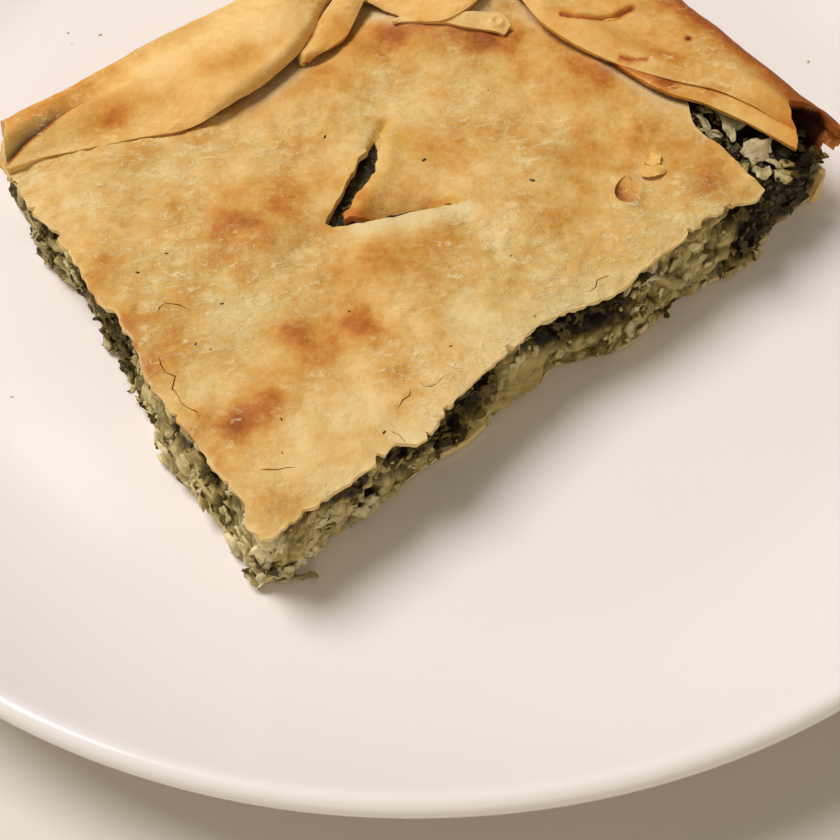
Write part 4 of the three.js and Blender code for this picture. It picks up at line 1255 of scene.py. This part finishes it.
# The leaf on the side fold
# A second layer of the same dough lies on the side fold and runs out at both ends. Near the long cut it
# leaves the fold's inner lip bare, and a small pleat gapes open near its far end.
LEAF_THICKNESS = 1.0
leaf_edge = through([
    (0.5, 1), (0.56, 1), (0.66, 1.06), (0.71, 1.05), (0.75, 1), (0.785, 0.95), (0.835, 0.9), (0.866, 0.865),
    (0.914, 0.835), (1, 0.81)])
POCKET = [(111.9, 58.4), (113, 57.6), (113.9, 56.2)]
MOUTH = [(112.5, 56.5), (114.5, 53.5), (117.5, 51.2), (121, 49.7), (124.6, 49)]
# Lines on the leaf: points, width and how brown. Along the mouth and in the pocket they are painted shade in
# the pleat.
LEAF_TINTS_AND_SHADE = [(MOUTH, 0.6, 0.6), (POCKET, 1.6, 0.2), ([(114.4, 41), (115.6, 39), (117.6, 37.2)], 0.5, 0.55),
              ([(115.7, 50.4), (117.4, 43.3), (121.1, 36.4), (124, 31.7)], 1.8, 0.14),
              ([(108.7, 52.8), (112.2, 44.7), (117, 37.6)], 1.4, -0.1)]


def leaf_place(a, b):
    along = 0.995 - 0.435 * a
    across = 0.1 + (leaf_edge(along) - 0.1) * b
    ends = np.minimum(1, np.minimum(6 * (1 - a), 0.1 + 5 * a))
    puffed = 1.5 * ends * (0.2 + 0.8 * np.sin(math.pi * (0.1 + 0.66 * b)))
    x, y, z = fold_at(along, across, puffed)
    shown = ease(along, 0.58, 0.66) * (1 - ease(along, 0.74, 0.84))
    furrow = 1.1 * bell(b - 0.74, 0.08) - 0.35 * bell(b - 0.88, 0.07)
    waves = (0.25 * noise(13 * along, 6 * b, 2.2) - 0.15) * ends * ease(b, 0.3, 0.5)
    rolled = 0.7 * ease(b, 0.92, 1) ** 2
    return x, y, z - furrow * shown + waves - rolled - 0.4 * (1 - ends)


leaf = dough_sheet("side_leaf", 200, 56, leaf_place)
x, y, z = in_slice(points_of(leaf))
mouth = gap_to(MOUTH, x, y)
beside_mouth = gap_to([(mouth_x - 0.9, mouth_y - 1.1) for mouth_x, mouth_y in MOUTH], x, y)
far_side = ease(beside_mouth - mouth, -0.2, 0.8)
gape = 0.6 * far_side * bell(mouth, 2.2) - 1.2 * bell(mouth, 0.45)
move_to(leaf, on_plate(x, y, z + gape - 0.9 * bell(gap_to(POCKET, x, y), 1.7)))
thicken(leaf, LEAF_THICKNESS)
carve(leaf, cutter(BROKEN, level(13), level(40)))


def leaf_browning_and_shade(x, y, z):
    silhouette = (0.03 + 0.38 * (1 - ease(depth_inside(x, y), 1, 9))
                  + 0.24 * ease(x, 118, 128) * (1 - ease(y, 8, 24)))
    # A small hole in the leaf, painted as a dark dot: painted shade inside the hole.
    burst_hole_shade = 1.3 * np.exp(-((x - 127.7) ** 2 + (y - 36.2) ** 2) / 0.3)
    return silhouette + tinted(LEAF_TINTS_AND_SHADE, x, y) + burst_hole_shade + 0.1 * ease(x, 110, 122) * bell(y - 60, 14)


dress_fold(leaf, leaf_browning_and_shade, 0.6)

# The torn strip and the twist of spare dough
# Scraps from trimming the sheet, each caught under the edge of the fold before it baked. Each lies between
# two edges, given by share of its length, X and Y.
STRIP_THICKNESS = 0.7
strip_near = path([
    (0, 86, 77.4), (0.1, 87.6, 76.6), (0.25, 89.6, 74.9), (0.4, 91.8, 72.8), (0.5, 93.9, 70.6),
    (0.6, 95.2, 68.8), (0.75, 97.6, 66), (0.88, 99.6, 63.4), (1, 101.4, 60.8)])
strip_far = path([
    (0, 86.4, 77.8), (0.1, 89, 78.2), (0.25, 91.6, 75.6), (0.4, 94.4, 72.4), (0.5, 96.3, 70.9),
    (0.6, 98.9, 69.3), (0.75, 101.6, 67.6), (0.88, 104, 65.4), (1, 103.6, 61.8)])
TWIST_THICKNESS = 1.1
twist_left = path([
    (0, 65.2, 80.6), (0.12, 66.4, 83), (0.25, 69, 85), (0.45, 73.6, 87.6), (0.6, 76.5, 88.9), (0.8, 80.4, 91),
    (1, 84, 93)])
twist_right = path([
    (0, 66.8, 80), (0.12, 70, 79.6), (0.25, 72.4, 79.7), (0.45, 77.3, 80.9), (0.6, 80.2, 82.9),
    (0.8, 85, 86.2), (1, 89, 89)])


def between(first, second, a, b):
    """Places between two edges: a share along them, and a share over from the first to the second."""
    (x, y), (far_x, far_y) = first(a), second(a)
    return x + (far_x - x) * b, y + (far_y - y) * b


def strip_place(a, b):
    torn = 0.35 * noise(a * 14, 3 * b, 1.5)
    x, y = between(strip_near, strip_far, a, b)
    x, y = x + torn, y - torn
    ring = 0.45 * bell(np.hypot(x - 102, y - 64.1) - 1.1, 0.45)
    return x, y, crust_top(x, y) + 1.0 + 0.5 * b + 0.2 * np.sin(9 * a + 3 * b) + ring - 0.3 * ease(a, 0.93, 1)


def twist_place(a, b):
    x, y = between(twist_right, twist_left, a, b)
    arch = 1.9 * np.sin(math.pi * (0.08 + 0.72 * b)) * ease(a, -0.05, 0.12) + 0.25 * np.sin(8 * a + 4 * b)
    return x, y, crust_top(x, y) + 0.9 + arch + 1.6 * ease(a, 0.1, 0.9) - 0.4 * (1 - ease(a, 0, 0.06))


strip = dough_sheet("torn_strip", 80, 26, strip_place)
thicken(strip, STRIP_THICKNESS)
dress_fold(strip, lambda x, y, z: -0.18, 0.4)
twist = dough_sheet("twisted_flap", 70, 36, twist_place)
thicken(twist, TWIST_THICKNESS)
# The twist is browner towards the side that turns down away from the light: painted shade.
dress_fold(twist, lambda x, y, z: -0.06 + 0.16 * ease(0.56 * (x - 70) - 0.83 * (y - 83), -1, 3.5), 0.3)

# The crumbs
# Specks of dried herb and flakes of crust on the pie, and a few crumbs that fell on the plate. The crumbs are
# chips of the same dough, and all of them lie loose.
HERB_SPECKS = [
    (14.4, 13.6), (67, 17.1), (61.9, 4.3), (18.3, 55.6), (11.9, 55.2), (13, 33.1), (11.6, 35.6), (10.9, 8.3),
    (26.7, 1.3), (37, 25.4), (81.8, 28.9), (69.1, 45.4), (20, 40), (58, 62), (90, 52), (46, 8)]
FIRST_FLAKE = [(101, 19), (103.3, 20.6), (104.3, 18.2), (103, 17.1), (101.6, 17.4)]
SECOND_FLAKE = [(98.7, 17.3), (100.6, 18.4), (102.7, 17.1), (102.5, 14.9), (100, 15.4)]
ON_PLATE = [(-16.1, 59.1), (46.5, 132.4), (41.2, 137.2), (163.5, 31.6)]
PLATE_TOP = PLATE_FLOOR[0][1] - SLICE_BASE


def chip_shape(flatness, seed):
    """A small chip: a block with its corners knocked off, uneven all over."""
    chip = new_piece("chip", bpy.ops.mesh.primitive_cube_add, size=1)
    edit_all(bpy.ops.mesh.subdivide, number_cuts=1, smoothness=0.3)
    points = points_of(chip)
    move_to(chip, (points + 0.3 * knocks(points, 3, seed)) * [1, 0.7, flatness])
    return shape_of(chip)


def lying_on(places, height):
    x, y = np.array(places, float).T
    return lying(x, y, height(x, y))


def on_crust(x, y):
    """The height of the upper crust as it was baked, at some places."""
    crust_x, crust_y, crust_z = in_slice(points_of(upper))
    return np.array([crust_z[np.argsort(np.hypot(crust_x - a, crust_y - b))[:6]].max() for a, b in zip(x, y)])


spots, outward = lying_on(HERB_SPECKS, on_crust)
count = len(spots)
herbs = strew("herb_specks", [chip_shape(0.35, 4), chip_shape(0.3, 12)], spots,
              in_range(count, 0.35, 0.9) * [1, 0.6, 0.5], facing(outward, 0.1), draws.uniform(0, 1, count))
flakes = scraps("crust_flakes", [(FIRST_FLAKE, below_crust(-0.7), 0.3, 0.3),
                                 (SECOND_FLAKE, below_crust(-0.5), 0.3, 0.3)])
spots, outward = lying_on(ON_PLATE, level(PLATE_TOP + 0.12))
count = len(spots)
crumbs = strew("plate_crumbs", [chip_shape(0.3, 6), chip_shape(0.25, 17)], spots,
               draws.uniform(0.4, 0.8, (count, 1)) * [1, 1, 0.4], facing(outward, 0.15),
               draws.uniform(0, 1, count))
tint(herbs, "dried herb", (30, 20, 8), (70, 48, 20), 0.5, 0, "chard_filling", "filling")
tint(flakes, "loose crust", (216, 158, 66), (232, 190, 104), 0.5, 0, "upper_crust", "upper_crust")
tint(crumbs, "fallen crumbs", (214, 190, 130), (232, 216, 176), 0.5, 0, "upper_crust", "upper_crust")

# The floor, the light and the camera
# A plain pale floor, one large soft light from the far left, a dim fill, and a camera that looks down on the
# near corner of the slice.
FLOOR_COLOURS = [(226, 220, 212), (216, 209, 200)]
CAMERA_AT = (0.001, -0.2075, 0.2359)
CAMERA_DOWN = 56.49
CAMERA_LENS = 64.29
floor = new_piece("floor", bpy.ops.mesh.primitive_plane_add, size=4, location=(0, 0, 0))
tree, shader = material_for(floor, "pale floor")
patches = cloud(tree, put(tree, "TexCoord").outputs["Object"], 6)
colour = blend(tree, patches, *[paint(*tone) for tone in FLOOR_COLOURS])
tree.links.new(colour, shader.inputs["Base Color"])
shader.inputs["Roughness"].default_value = 0.7


def soft_light(name, at, towards, size, energy, colour):
    """A round soft light that faces a place."""
    light = new_piece(name, bpy.ops.object.light_add, type="AREA", location=at)
    light.data.shape = "DISK"
    light.data.size, light.data.energy, light.data.color = size, energy, colour
    x, y, z = np.subtract(towards, at)
    light.rotation_euler = (math.atan2(math.hypot(x, y), -z), 0, math.atan2(x, -y) + math.pi)


soft_light("key_light", (-0.86, 0.47, 1.5), (0, -0.02, 0.02), 0.95, 29.3, (0.995, 0.981, 1.0))
soft_light("front_light", (0.2, -0.95, 0.4), (0, 0, 0), 0.9, 1.9, (1.0, 0.9, 0.66))
world = bpy.data.worlds.new("soft fill")
bpy.context.scene.world = world
world.use_nodes = True
sky = world.node_tree.nodes["Background"].inputs
sky["Color"].default_value = (1.0, 0.92, 0.74, 1)
sky["Strength"].default_value = 0.25
bpy.ops.object.camera_add(location=CAMERA_AT, rotation=(math.radians(90 - CAMERA_DOWN), 0, 0))
camera = bpy.context.object
camera.data.sensor_width = 36
camera.data.lens = CAMERA_LENS
bpy.context.scene.camera = camera
bpy.context.scene.view_settings.view_transform = "Standard"
